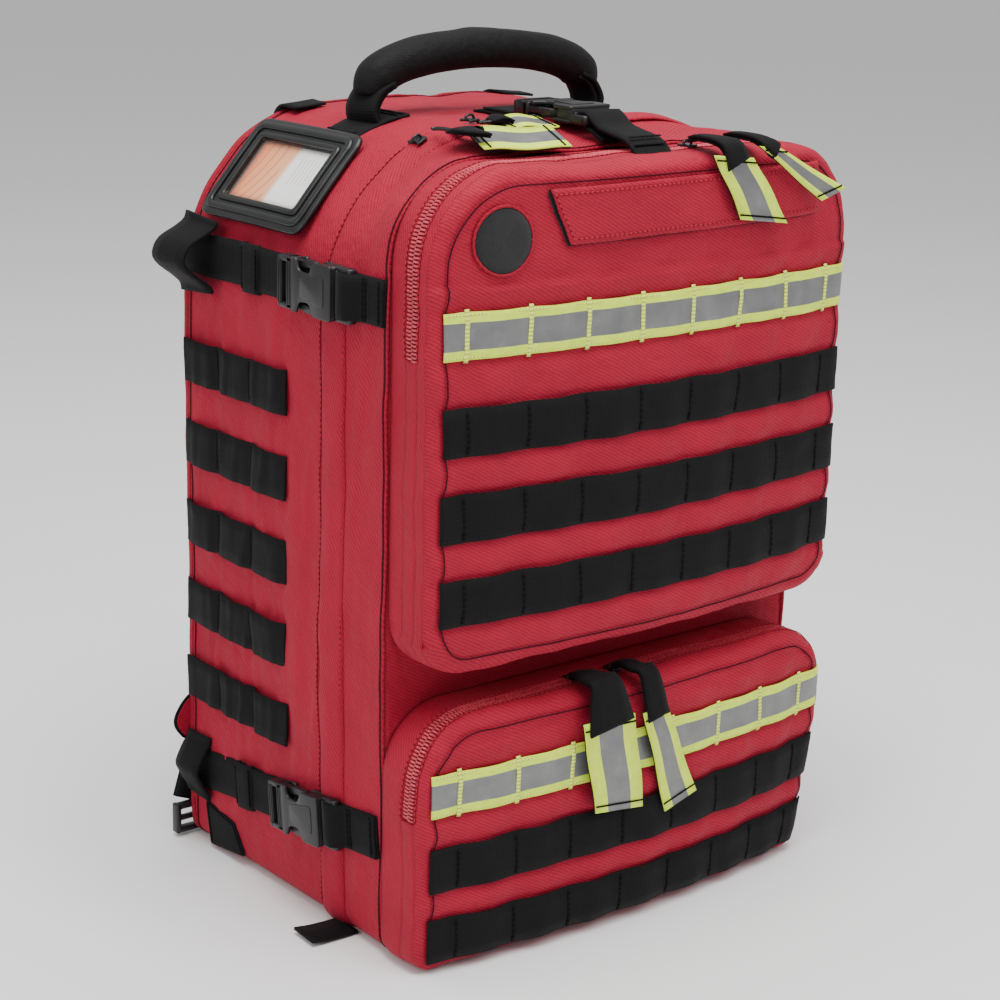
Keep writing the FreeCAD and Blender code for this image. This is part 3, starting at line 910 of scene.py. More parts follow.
def edge_distance(pk, x, z):
    """Distance inside a pocket's outline and the outward direction to it."""
    mid = (pk["low"] + pk["top"]) / 2
    r = pk["r_top"] if z > mid else pk["r_low"]
    qx = abs(x) - (pk["half"] - r)
    qz = abs(z - mid) - ((pk["top"] - pk["low"]) / 2 - r)
    sx, sz = math.copysign(1, x), math.copysign(1, z - mid)
    if qx > 0 and qz > 0:
        length = math.hypot(qx, qz)
        return r - length, (sx * qx / length, sz * qz / length)
    if qx > qz:
        return r - qx, (sx, 0.0)
    return r - qz, (0.0, sz)


def pocket_shape(pk, inset=0.0):
    """Outline arguments of a pocket's front, drawn in by inset."""
    radii = [max(4, pk[key] - inset) for key in ("r_top", "r_low")]
    return (pk["half"] - inset, pk["low"] + inset, pk["top"] - inset, *radii)


def pocket_loop(pk):
    return loop(*pocket_shape(pk), n_side=90, n_top=72, n_arc=22, n_foot=10)


def pocket_wall(name, pk, rows, mat, above=None):
    """Strip of a pocket's side wall. rows is (y, set back). above=True keeps the zipped run."""
    pts, nrm = pocket_loop(pk)
    count = len(pts)
    order = list(range(count))
    wrap = above is None
    if above is not None:
        high = [k for k in order if pts[k][1] >= pk["split"] - 1.0]
        low = list(range(max(high), count)) + list(range(0, min(high) + 1))
        order = high if above else low
    along = run_length(pts)
    verts, uv = [], []
    for y, back in rows:
        for k in order:
            (x, z), (nx, nz) = pts[k], nrm[k]
            d = pocket_skin(pk, (x, y, z), (nx, nz)) * min(1.0, (LID_Y - y) / 5.0) - back
            verts.append((x + nx * d, y, z + nz * d))
            uv.append((along[k], y))
    return sheet_uv(make(name, verts, quads(len(rows), len(order), wrap), mat), uv)


def pocket_path(pk, y, out=0.0):
    """Points and normals on a pocket's wall at one y, over the zipped run."""
    pts, nrm = pocket_loop(pk)
    path, normals = [], []
    for (x, z), (nx, nz) in zip(pts, nrm):
        if z < pk["split"]:
            continue
        d = pocket_skin(pk, (x, y, z), (nx, nz)) + out
        path.append((x + nx * d, y, z + nz * d))
        normals.append((nx, 0.0, nz))
    return path, normals


def pocket_face(name, pk):
    """Front of a pocket with its turned edge, as one height field across the outline."""
    half, low, top, r_top, r_low = pocket_shape(pk)
    rows = int((top - low) / 2.1)
    cols = 150
    zs = np.concatenate([low + 7 * (1 - np.cos(np.linspace(0, math.pi / 2, 7)))[:-1],
                         np.linspace(low + 7, top - 16, rows),
                         top - 16 + 16 * np.sin(np.linspace(0, math.pi / 2, 14))[1:]])
    us = np.linspace(-1, 1, cols + 1)
    us = np.sign(us) * (1 - (1 - np.abs(us)) ** 1.25)
    verts, uv = [], []
    for z in zs:
        w = edge_half(half, low, top, r_top, r_low, z)
        for u in us:
            x = w * u
            d, (nx, nz) = edge_distance(pk, x, z)
            d = max(0.0, d)
            k = min(1.0, d / FILLET)
            round_over = math.sqrt(max(0.0, 1 - (1 - k) ** 2))
            puff = pocket_skin(pk, (x, FACE_START, z), (nx, nz)) * (1 - k)
            px, pz = x + nx * puff, z + nz * puff
            face = arc_y(x) - front_relief(pk, x, z)
            groove = 0.8 * math.exp(-((d - 8.0) / 1.6) ** 2)
            verts.append((px, FACE_START + (face - FACE_START) * round_over + groove, pz))
            uv.append((x, z))
    return sheet_uv(make(name, verts, quads(len(zs), cols + 1), "red"), uv)


def front_strip(name, pk, z_top, height, half, mats, lanes, index=None, t=1.3, bow=1.0, body=0.7):
    """Strip sewn across a pocket front at its tacks, standing a little proud between them."""
    past_edge = half + np.array([1.0, 2.0, 3.0, 4.0, 4.8])
    xs = np.concatenate([np.arange(-half, half + 0.1, 2.0), past_edge])
    verts, uv = [], []
    for x in xs:
        phase = 0.5 - 0.5 * math.cos(2 * math.pi * (x - FRONT_TACKS[0]) / TACK)
        end = min(1.0, max(0.0, half - abs(x)) / 8.0)
        for v in lanes:
            z = z_top - height * v + 0.35 * noise.noise(Vector((x / 30.0, z_top, v)))
            lift = body + bow * phase * end
            verts.append(front_point(pk, x, z, lift))
            uv.append((x + half, v * height))
    ob = make(name, verts, quads(len(xs), len(lanes)), mats, index and index * (len(xs) - 1))
    return thick(sheet_uv(ob, uv), t, 1.0)


def face_line(name, pk, ends, width, mat, lift=0.6, t=0.45, n=40):
    """Stitch line between two (x, z) points on a pocket front."""
    (x0, z0), (x1, z1) = ends
    pts, normals = [], []
    for k in range(n + 1):
        x, z = x0 + (x1 - x0) * k / n, z0 + (z1 - z0) * k / n
        pts.append(front_point(pk, x, z, lift))
        normals.append(front_normal(x))
    return ribbon(name, pts, normals, width, t, mat, 0.0, lanes=1)


def perimeter(pk, inset):
    """Path around a pocket front, inset from its outline."""
    pts, _ = loop(*pocket_shape(pk, inset), n_side=70, n_top=60, n_arc=20, n_foot=8)
    out = [front_point(pk, x, z, 0.3) for x, z in pts]
    normals = [front_normal(x) for x, z in pts]
    return out + [out[0]], normals + [normals[0]]


def slump(ob):
    """The lower right corner of the filled pocket draws in and back towards the base."""
    for v in ob.data.vertices:
        x, y, z = v.co / MM
        if z < 105 and x > 50 and y < -101:
            k = ((105 - z) / 105) ** 1.3 * ((x - 50) / 106) ** 1.6
            v.co.x -= 13.0 * k * MM
            v.co.y += 4.0 * k * MM * min(1.0, (-101 - y) / 20.0)
    return ob


def plain_rows(y0, y1, count):
    return [(y, 0.0) for y in np.linspace(y0, y1, count)]


for pk in (UPPER, LOWER):
    name, zip_y, split = pk["name"], pk["zip_y"], pk["split"]
    # Behind the zip: the wall that stays on the lid, with its tape and its row of the coil.
    parts = [thick(pocket_wall("wall", pk, plain_rows(LID_Y - 0.3, zip_y + 5.4, 8), "red"), 1.6),
             thick(pocket_wall("wall", pk, plain_rows(zip_y + 5.4, zip_y - 5.4, 4), "red", False), 1.6),
             thick(pocket_wall("tape", pk, [(zip_y + 6.4, 0.4), (zip_y + 3, 1.0), (zip_y + 0.15, 1.2)],
                               "tape", True), 0.8),
             zip_rows("coil", *pocket_path(pk, zip_y, -0.75), 1, 3.7),
             seam_line("trim", *pocket_path(pk, zip_y + 5.9), 0.8, "red_seam")]
    walls = joined(name + "_pocket_walls", parts)
    if pk is LOWER:
        slump(walls)
    put(walls, "lid", "red_fabric", name + "_pocket_body")
    # In front of the zip: one cut of cloth for the flap and the pocket front together.
    parts = [thick(pocket_wall("wall", pk, plain_rows(zip_y - 5.4, FACE_START, 5), "red"), 1.6),
             thick(pocket_wall("tape", pk, [(zip_y - 0.15, 1.2), (zip_y - 3, 1.0), (zip_y - 6.4, 0.4)],
                               "tape", True), 0.8),
             thick(pocket_face("face", pk), 1.6),
             zip_rows("coil", *pocket_path(pk, zip_y, -0.75), -1, 3.7),
             seam_line("trim", *pocket_path(pk, zip_y - 5.9), 0.8, "red_seam"),
             seam_line("trim", *perimeter(pk, 8.0), 0.8, "seam")]
    cover = joined(name + "_pocket_front", parts)
    if pk is LOWER:
        slump(cover)
    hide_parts(name + "_pocket_flap")
    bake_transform(cover)

# Webbing rows, tacked every 38 mm, and the reflective strips with lime edges and thread.
LANES = [0.0, 0.25, 0.5, 0.75, 1.0]
REFLECT_LANES = [0.0, 0.1, 0.19, 0.21, 0.5, 0.79, 0.81, 0.9, 1.0]
REFLECT_INDEX = [0, 0, 0, 1, 1, 0, 0, 0]
front_rows = []
for pk, half in ((UPPER, 147.0), (LOWER, 150.0)):
    for top in pk["black"]:
        front_rows.append(front_strip("row", pk, top, WEB_H, half, "web", LANES))
        for x in FRONT_TACKS:
            ends = ((x, top - 1.5), (x, top - WEB_H + 1.5))
            front_rows.append(face_line("tack", pk, ends, 1.7, "black_seam", 1.9, 0.4, 6))
    tape = front_strip("tape", pk, pk["bright"], REFLECTIVE_H, half, ["lime", "silver"],
                       REFLECT_LANES, REFLECT_INDEX, 0.8, 0.9, 0.6)
    marks = [face_line("tack", pk, ((x + random.uniform(-0.7, 0.7), pk["bright"] + 1.6),
                                    (x + random.uniform(-0.7, 0.7), pk["bright"] - REFLECTIVE_H - 1.6)),
                       2.6, "lime_seam", 1.3, 0.5, 8) for x in FRONT_TACKS]
    for v in (0.05, 0.95):
        z = pk["bright"] - REFLECTIVE_H * v
        marks.append(face_line("edge", pk, ((-half + 1, z), (half - 1, z)), 0.7, "lime_seam", 1.6, 0.3,
                               140))
    strip = joined(pk["name"] + "_reflective_tape", [tape] + marks)
    if pk is LOWER:
        slump(strip)
    put(strip, pk["name"] + "_flap", "reflective_tape", pk["name"] + "_reflective_strip")
put(slump(joined("front_webbing_rows", front_rows)), "lid", "black_webbing", "front_webbing")

# Webbing ladder on each side.
side_rows = []
for top in SIDE_ROWS:
    ys = np.linspace(-5.0, 103.5, 56)
    verts, uv = [], []
    for y in ys:
        phase = abs(math.sin(math.pi * (y + 5.0) / 36.2))
        for v in LANES:
            x, _, z = side_point(y, top - WEB_H * v, 0.9 + 0.9 * phase)
            verts.append((x, y, z))
            uv.append((y, v * WEB_H))
    row = sheet_uv(make("row", verts, quads(len(ys), len(LANES)), "web"), uv)
    side_rows.append(thick(row, 1.4, 1.0))
    for y in SIDE_TACKS[1:3]:
        z = top - WEB_H / 2
        pts = [side_point(y, z + dz, 2.2) for dz in np.linspace(-11.5, 11.5, 6)]
        side_rows.append(tack(pts, (1, 0, 0), 1.7))
side_web = both_sides(joined("side_webbing_rows", side_rows))
put(side_web, "pack", "black_webbing", "side_webbing")


# Stiffeners and linings ---------------------------------------------------------------------

def mesh_pocket(node, y, z, slack_y):
    """Flat pocket of mesh against a panel, a little slack along its open upper edge."""
    x, nx, nz = (-120, 120), 40, 40
    verts, uv = [], []
    for i in range(nz + 1):
        for j in range(nx + 1):
            px = x[0] + (x[1] - x[0]) * j / nx
            pz = z[0] + (z[1] - z[0]) * i / nz
            slack = (i / nz) ** 2 * math.sin(math.pi * j / nx)
            py = y + slack_y * slack * (1 + 0.6 * fbm((px, 0, pz), 30.0, 2.0))
            verts.append((px, py, pz))
            uv.append((px, pz))
    ob = sheet_uv(make(node + "_cloth", verts, quads(nz + 1, nx + 1), "mesh"), uv)
    thick(ob, 1.2, 0.0)
    hem = []
    for za, bow in ((z[0] + 2.5, 0.0), (z[1] - 3.0, slack_y)):
        pts = [(px, y + bow * math.sin(math.pi * (px - x[0]) / (x[1] - x[0])), za)
               for px in np.linspace(x[0] + 1, x[1] - 1, 30)]
        hem.append(ribbon("hem", pts, [(0, math.copysign(1, slack_y), 0)] * 30, 6.0, 0.8, "web", 0.6))
    return joined(node + "_cloth", [ob] + hem)


frame_board = panel("frame_sheet_board", (149.0, 6.0, 450.0, 90.0, 10.0), lambda x, z: 98.8, "board", 30,
                    30, 1.0, 1.6)
put(frame_board, "pack", "stiffener", "frame_sheet")
base = bevel_box((-138, 138), (-38, 94), (3.2, 6.2), "board", 1.0, "base_board_board")
put(base, "pack", "stiffener", "base_board")
inner_mesh = mesh_pocket("inner_mesh_pocket", 95.4, (30, 230), -0.9)
put(inner_mesh, "pack", "air_mesh", "inner_mesh_pocket")
lid_mesh = mesh_pocket("lid_mesh_pocket", -94.6, (50, 380), 0.9)
put(lid_mesh, "lid", "air_mesh", "lid_mesh_pocket")


# Straps and buckles --------------------------------------------------------------------------

def strap_frame(origin, forward, across, outward):
    """Matrix from a buckle's own (u, v, w) millimetres to metres in the frame of the part."""
    m = Matrix.Identity(4)
    for col, axis in enumerate((forward, across, outward)):
        axis = Vector(axis).normalized()
        for row in range(3):
            m[row][col] = axis[row]
    for row in range(3):
        m[row][3] = origin[row] * MM
    return m


def male_buckle():
    """Side-release insert: slotted bar with grip ridges, guide rib and two barbed prongs."""
    bars = [("rear_bar", rounded([(0, -14.6), (3.4, -14.6), (3.4, 14.6), (0, 14.6)], [3, 1, 1, 3]), 0.9),
            ("cheek", [(2.0, -14.6), (14.0, -14.6), (14.0, -11.2), (2.0, -11.2)], 1.0),
            ("cheek", [(2.0, 11.2), (14.0, 11.2), (14.0, 14.6), (2.0, 14.6)], 1.0),
            ("front_bar", rounded([(8.8, -14.6), (14, -14.6), (14, 14.6), (8.8, 14.6)], [1, 3, 3, 1]), 0.9)]
    out = [lifted(plate(outline, 8.4, "plastic", r, name), 0.9) for name, outline, r in bars]
    for u in (0.9, 2.6, 9.9, 11.6):
        out.append(bevel_box((u - 0.45, u + 0.45), (-12, 12), (9.1, 9.7), "plastic", 0.25, "ridge"))
    guide = rounded([(13, -2.2), (33, -2.0), (35, 0), (33, 2.0), (13, 2.2)], 0.8)
    out.append(lifted(plate(guide, 3.2, "plastic", 0.5, "guide"), 3.7))
    for s in (-1, 1):
        arm = [(13, 9.6 * s), (13, 14.0 * s), (22, 13.6 * s), (24.5, 14.7 * s), (33, 14.5 * s),
               (37, 11.0 * s), (36.4, 9.9 * s), (27, 10.6 * s), (20, 9.9 * s)][::-s]
        out.append(lifted(plate(rounded(arm, 0.8, 3), 3.6, "plastic", 0.6, "prong"), 3.5))
    return joined("male", out)


def female_buckle():
    """Side-release socket: two waisted plates over an end block with a strap bar."""
    waist = [(15, -14.9), (19.0, -15.2), (21.5, -8.6), (31.5, -8.0), (35.5, -15.0), (51.5, -15.2),
             (51.5, 15.2), (35.5, 15.0), (31.5, 8.0), (21.5, 8.6), (19.0, 15.2), (15, 14.9)]
    shell = rounded(waist, [1.5, 2, 4, 4, 3, 2, 2, 3, 4, 4, 2, 1.5], 4)
    block = rounded([(38.5, -14.6), (51.5, -15), (51.5, 15), (38.5, 14.6), (41.0, 9), (41.0, -9)],
                    [1.5, 2, 2, 1.5, 2, 2])
    raised = rounded([(24, -5.5), (46, -9), (46, 9), (24, 5.5)], 3)
    out = [lifted(plate(shell, 2.4, "plastic", 0.8, "shell"), 0.4),
           lifted(plate(shell, 2.4, "plastic", 0.8, "shell"), 8.0),
           lifted(plate(block, 8.6, "plastic", 0.8, "block"), 1.0),
           lifted(plate(raised, 0.7, "plastic", 0.3, "badge_field"), 10.2)]
    for v in (-15, 11.4):
        cheek = [(50, v), (63.2, v), (63.2, v + 3.6), (50, v + 3.6)]
        out.append(lifted(plate(cheek, 5.6, "plastic", 1.0, "cheek"), 0.6))
    out.append(bevel_box((60.2, 64), (-15, 15), (0.5, 6.2), "plastic", 1.4, "strap_bar"))
    out.append(bevel_box((51.6, 53.4), (-13, 13), (4.6, 7.0), "plastic", 0.6, "ridge"))
    return joined("female", out)


def placed(source, name, m):
    me = source.data.copy()
    me.transform(m)
    if m.to_3x3().determinant() < 0:
        me.flip_normals()
    return linked(name, me)


SIDE_STRAPS = dict(upper=(-10.0, 375.0, 0.0), lower=(0.0, 61.0, math.radians(6)))
FRAMES = {}
for level, (y, z, slope) in SIDE_STRAPS.items():
    for side, s in (("left", -1), ("right", 1)):
        along = (0, -math.cos(slope), math.sin(slope))
        across = (0, math.sin(slope), math.cos(slope))
        FRAMES[level, side] = strap_frame((s * 157.0, y, z), along, across, (s, 0, 0))
FRAMES["top", ""] = strap_frame((0, -25, 458.4), (0, -1, 0), (1, 0, 0), (0, 0, 1))

male, female = male_buckle(), female_buckle()
females = []
for (level, side), m in FRAMES.items():
    node = "buckle_male_top" if level == "top" else "buckle_male_%s_%s" % (level, side)
    put(placed(male, node + "_insert", m), node, "black_plastic", node)
    socket = placed(female, "socket", m)
    if level == "top":
        put(socket, "lid", "black_plastic", "buckle_female_top")
        socket.name = "buckle_top_socket"
    else:
        females.append(socket)
put(joined("buckle_sockets", females), "lid", "black_plastic", "buckle_females")


def band_path(m, stops, width=25.0, t=1.7, wave=0.0):
    """Webbing through (u, w) stops of a buckle frame, smoothed and with ribbed cloth."""
    fine = smooth_path([(u, 0.0, w) for u, w in stops], 3.0)
    pts, normals = [], []
    for k, p in enumerate(fine):
        q = fine[min(k + 1, len(fine) - 1)] - fine[max(k - 1, 0)]
        nrm = np.array([-q[2], 0.0, q[0]])
        nrm /= max(np.linalg.norm(nrm), 1e-6)
        pts.append((p[0], wave * math.sin(p[0] / 11.0), p[2]))
        normals.append(nrm)
    ob = ribbon("band", pts, normals, width, t, "web", -t / 2, lanes=4, crown=0.25)
    ob.data.transform(m)
    if m.to_3x3().determinant() < 0:
        ob.data.flip_normals()
    return ob


def smooth_path(points, step):
    """Catmull-Rom through points, resampled to even steps, as numpy rows."""
    p = [np.array(q, float) for q in points]
    p = [2 * p[0] - p[1]] + p + [2 * p[-1] - p[-2]]
    fine = []
    for i in range(1, len(p) - 2):
        n = max(2, int(np.linalg.norm(p[i + 1] - p[i]) / step))
        for k in range(n):
            t = k / n
            fine.append(0.5 * ((2 * p[i]) + (p[i + 1] - p[i - 1]) * t
                               + (2 * p[i - 1] - 5 * p[i] + 4 * p[i + 1] - p[i + 2]) * t ** 2
                               + (3 * p[i] - p[i - 1] - 3 * p[i + 1] + p[i + 2]) * t ** 3))
    fine.append(p[-2])
    return fine


keepers, stubs = [], []
for (level, side), m in FRAMES.items():
    if level == "top":
        continue
    rear = -(104.0 - SIDE_STRAPS[level][0])
    strap = joined("compression_strap_%s_%s" % (level, side), [
        band_path(m, [(rear, -1.9), (rear + 8, -1.2), (-70, -1.0), (-40, -1.2), (-14, -1.0), (-2, 0.4),
                      (3.6, 5.2), (6.0, 6.4)], wave=0.35),
        band_path(m, [(6.0, 6.2), (6.2, 3.0), (3.0, 0.9), (-8, 1.3), (-20, 1.6), (-44, 1.7)], 25, 1.5)])
    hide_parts("compression_straps")
    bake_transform(strap)
    keepers.append(band_path(m, [(-43.6, 0.2), (-45.6, 1.4), (-44, 3.1), (-38, 3.3), (-32, 3.1),
                                 (-29.6, 1.8), (-31, 0.2)], 28, 1.5))
    for u in (-30.5, -44.2):
        keepers.append(tack([(u, v, 3.9) for v in np.linspace(-12, 12, 6)], (0, 0, 1), 1.2, 0.35, m=m))
    end = 88.0 if level == "upper" else 96.0
    stubs.append(band_path(m, [(55.0, 6.9), (58.5, 6.0), (58.8, 3.6), (57, 2.0), (61, -0.2), (66, -0.4),
                               (end, -0.8)]))
    stubs.append(band_path(m, [(55.0, 6.9), (60.5, 7.7), (66, 3.2), (70, 1.2), (end, 0.9)], 25, 1.5))
    for u in (70.5, 73.0, end - 3.5):
        stubs.append(tack([(u, v, 2.0) for v in np.linspace(-11.5, 11.5, 6)], (0, 0, 1), m=m))
tab = []
for s in (-1, 1):
    pts = smooth_path([(s * 151, -59.5, 1.4), (s * 160, -59.5, 1.6), (s * 172, -59, 2.2),
                       (s * 181.5, -58.5, 3.4)], 3.0)
    tab.append(ribbon("floor_tab", pts, [(0, 0, 1)] * len(pts), 21, 1.7, "web", -0.9, lanes=2))
put(joined("compression_keepers", keepers), "pack", "black_webbing", "compression_straps")
put(joined("lid_stub_webbing", stubs + tab), "lid", "black_webbing", "lid_strap_stubs")

# Upright loops behind the side straps: a flat band with feet above and below.
loops = []
for level, (y0, y1, z0, z1) in (("upper", (66, 100, 352, 398)), ("lower", (80, 104.5, 31, 74))):
    middle = (z0 + z1) / 2
    if level == "upper":
        path = [(160.4, 0, z0 + 1), (161.4, 0, z0 + 5), (167, 0, z0 + 10), (176, 0, z0 + 17),
                (179, 0, middle), (175, 0, z1 - 15), (164, 0, z1 - 9), (158.2, 0, z1 - 5),
                (156.8, 0, z1 - 1)]
    else:
        path = [(157.2, 0, z0 + 1), (158.2, 0, z0 + 5), (161.4, 0, z0 + 10), (164.1, 0, z0 + 15),
                (166.8, 0, middle), (164.1, 0, z1 - 14), (161.2, 0, z1 - 9), (158.2, 0, z1 - 5),
                (157.2, 0, z1 - 1)]
    pts = smooth_path(path, 2.0)
    pts = [np.array((p[0], (y0 + y1) / 2 + 1.2 * math.sin(p[2] / 14.0), p[2])) for p in pts]
    tangents = np.gradient(np.array(pts), axis=0)
    normals = [(t[2], 0, -t[0]) for t in tangents]
    loops.append(ribbon("loop", pts, normals, y1 - y0, 1.9, "web", -1.0, lanes=4, crown=0.4))
put(both_sides(joined("lash_loop_webbing", loops)), "pack", "black_webbing", "lash_loops")

# Rear load strap with its turned-back end, and the strap over the top buckle.
top_frame = FRAMES["top", ""]
rear_top = [band_path(top_frame, [(-39, -1.2), (-30, -0.6), (-14, -0.6), (-3, 0.2), (3.4, 5.0),
                                  (6.0, 6.2)]),
            band_path(top_frame, [(6, 6.2), (6, 3), (2, 0.9), (-12, 1.2), (-30, 1.4)], 25, 1.5)]
top_strap = joined("top_strap_rear_webbing", rear_top)
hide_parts("top_strap_rear")
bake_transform(top_strap)
front_top = [band_path(top_frame, [(55, 6.9), (58.5, 6), (58.8, 3.6), (57, 2), (62, -0.6), (70, -3.6),
                                   (76, -6.6)]),
             band_path(top_frame, [(55, 6.9), (60.5, 7.7), (66, 4.6), (72, 0.6), (82, -1.6), (95, -4.2),
                                   (103, -9.5), (108, -16.5)], 26, 1.9)]
for u, w in ((97.0, -4.2), (101.5, -8.0)):
    pts = [(u, v, w + 2.0) for v in np.linspace(-11.5, 11.5, 6)]
    front_top.append(tack(pts, (0.3, 0, 1), m=top_frame))
tail_tip = joined("top_strap_front_webbing", front_top)
put(tail_tip, "lid", "black_webbing", "top_strap_front")
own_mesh(tail_tip)


# Carry handle -------------------------------------------------------------------------------

def swept(name, points, section, mat):
    """Closed section swept along a path; section(k) gives (side, up) offsets in millimetres."""
    p = np.asarray(points, float)
    d = np.gradient(p, axis=0)
    d /= np.linalg.norm(d, axis=1)[:, None]
    side = np.array([0.0, 1.0, 0.0])
    verts, uv = [], []
    for k, along in enumerate(run_length(p)):
        upward = np.cross(d[k], side)
        upward /= np.linalg.norm(upward)
        ring = section(k)
        for j, (a, b) in enumerate(ring):
            verts.append(p[k] + side * a - upward * b)
            uv.append((along, j * 3.0))
    count = len(ring)
    faces = quads(len(p), count, wrap=True)
    faces.append(tuple(range(count))[::-1])
    faces.append(tuple((len(p) - 1) * count + j for j in range(count)))
    return sheet_uv(make(name, verts, faces, mat), uv)


HANDLE_Y, HANDLE_Z, APEX_Z = 25.0, 472.0, 494.0
arch = []
for a in np.linspace(-math.pi / 2, math.pi / 2, 60):
    rise = (APEX_Z - HANDLE_Z + 3.5) * math.cos(a) ** 0.8
    arch.append((80.5 * math.sin(a), HANDLE_Y, HANDLE_Z - 4.5 + rise))
arch = smooth_path(arch[::3] + [arch[-1]], 3.2)


def grip_section(k):
    """Padded sleeve: round on top, gathered into a seam ridge underneath, soft at both ends."""
    s = abs(k / (len(arch) - 1.0) * 2 - 1)
    r = 12.6 * (1 - 0.30 * max(0.0, s - 0.84) / 0.16)
    ring = []
    for j in range(28):
        a = 2 * math.pi * j / 28
        crease = 0.45 * fbm((k * 1.4, 9 * math.cos(a), 9 * math.sin(a)), 9.0, 3.3)
        under = max(0.0, -math.sin(a)) ** 6
        rr = r + crease * (0.5 + under * 1.8) - 1.0 * under
        ring.append((rr * math.cos(a) * 1.03, rr * math.sin(a) * 0.97))
    return ring


grip = swept("handle_grip_sleeve", arch, grip_section, "sleeve")
modify(grip, "SUBSURF", levels=1)
apply_all(grip)
put(grip, "handle", "black_fabric", "handle_grip")


def shoulder(x, lift=0.0, y=25.0):
    """Point on the rounded shoulder of the body over a given x, with its outward normal."""
    dx = max(0.0, abs(x) - CORNER_X)
    a = math.asin(min(1.0, dx / CORNER_R))
    s = math.copysign(1, x)
    nx, nz = math.sin(a), math.cos(a)
    px, pz = CORNER_X + CORNER_R * nx if dx else abs(x), CORNER_Z + CORNER_R * nz
    d = skin((s * px, y, pz), (s * nx, nz)) + lift
    return (s * (px + nx * d), y, pz + nz * d), (s * nx, 0, nz)


legs, feet = [], []
for s in (-1, 1):
    path = smooth_path([(s * 71, 25, 475.5), (s * 79, 25, 471.5), (s * 84.0, 25, 465),
                        (s * 85.6, 24.6, 459.5), (s * 84.2, 24.4, 455.2), (s * 82.4, 24.2, 451.5)], 1.2)
    normals = [(s * abs(t[2]), 0.0, abs(t[0])) for t in np.gradient(np.array(path), axis=0)]
    legs.append(ribbon("leg", path, normals, 27, 2.4, "web", -1.0, lanes=6, crown=0.9))
    inner = [q - np.array((s * 3.0, 0, 1.0)) for q in path[1:]]
    legs.append(ribbon("leg", inner, normals[1:], 24, 1.8, "web", -1.0, lanes=4, crown=-0.5))
    foot, foot_n = [], []
    for x in np.linspace(63, 116, 30):
        q, nrm = shoulder(s * x, 0.25, 24.5)
        foot.append(q)
        foot_n.append(nrm)
    feet.append(ribbon("foot", foot, foot_n, 32, 1.7, "web", 0.1, lanes=6, crown=0.2))
    for x in (66, 70, 98, 103, 112):
        pts, nn = [], []
        for dy in np.linspace(-14, 14, 8):
            q, nrm = shoulder(s * x, 2.1, 24.5 + dy)
            pts.append(q)
            nn.append(nrm)
        feet.append(ribbon("tack", pts, nn, 1.4, 0.4, "black_seam", 0.1, lanes=1))
leg = joined("handle_leg_webbing", legs)
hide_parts("handle_webbing")
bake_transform(leg)
put(joined("handle_anchor_webbing", feet), "pack", "black_webbing", "handle_anchors")

# Identity pocket on the left shoulder --------------------------------------------------------

tilt = math.radians(-48.66)
id_place = (Matrix.Translation(Vector((-57 * MM, 39.5 * MM, 359 * MM)))
            @ Matrix.Rotation(tilt, 4, "Y"))


def id_ring(name, outer, inner, w0, w1, corner):
    """Rounded rectangular rim between two outlines; u runs front to back, v down the slope."""
    (out_u, out_v), (in_u, in_v) = outer, inner
    rings = []
    for half_u, half_v, w, r in ((out_u, out_v, w0, corner), (out_u, out_v, w1 - 0.8, corner),
                                 (out_u - 0.8, out_v - 0.8, w1, corner),
                                 (in_u + 0.8, in_v + 0.8, w1, corner * 0.6),
                                 (in_u, in_v, w1 - 0.8, corner * 0.5), (in_u, in_v, w0, corner * 0.5)):
        pts = rounded([(-half_u, -half_v), (half_u, -half_v), (half_u, half_v), (-half_u, half_v)], r, 7)
        fine = []
        for i, p in enumerate(pts):
            q = pts[(i + 1) % len(pts)]
            n = 5 if math.hypot(q[0] - p[0], q[1] - p[1]) > 8 else 1
            fine += [(p[0] + (q[0] - p[0]) * k / n, p[1] + (q[1] - p[1]) * k / n) for k in range(n)]
        rings.append([(u, v, w + 0.28 * (math.cos(u / 22.0) - 0.5) - 0.5 * (v / 33.0) ** 2)
                      for u, v in fine])
    count = len(rings[0])
    verts = [(v, u, w) for ring in rings for u, v, w in ring]
    faces = quads(len(rings), count, wrap=True)
    last = (len(rings) - 1) * count
    faces += [(last + j, last + (j + 1) % count, (j + 1) % count, j) for j in range(count)]
    ob = make(name, verts, faces, "pvc")
    ob.data.transform(id_place)
    return box_uv(ob)


rim = [id_ring("base_rim", (51.5, 34.5), (36, 21), 98.7, 101.2, 9.0),
       id_ring("outer_ridge", (48.0, 31.0), (43.5, 26.5), 100.8, 102.9, 8.0),
       id_ring("inner_ridge", (40.5, 24.5), (36, 20.5), 100.4, 102.6, 5.0)]
put(joined("id_pocket_frame", rim), "pack", "pvc_frame", "id_frame")
window = bevel_box((-27.5, 27.5), (-44.5, 44.5), (98.75, 99.15), "film", 0.1, "id_pocket_window")
window.data.transform(id_place)
put(window, "pack", "clear_film", "id_window")
grid = [(-20 + 40 * j / 10.0, -35.5 + 71 * i / 14.0) for i in range(15) for j in range(11)]
card = make("id_card_insert", [(v, u, 97.5 + 0.15 * math.cos(u / 20.0)) for v, u in grid], quads(15, 11),
            "card")
sheet_uv(card, [(35.5 - u, 20 - v) for v, u in grid])
thick(card, 0.45, 1.0)
card.data.transform(id_place)
put(card, "id_card", "card", "id_card")

# Name panel and patches ----------------------------------------------------------------------

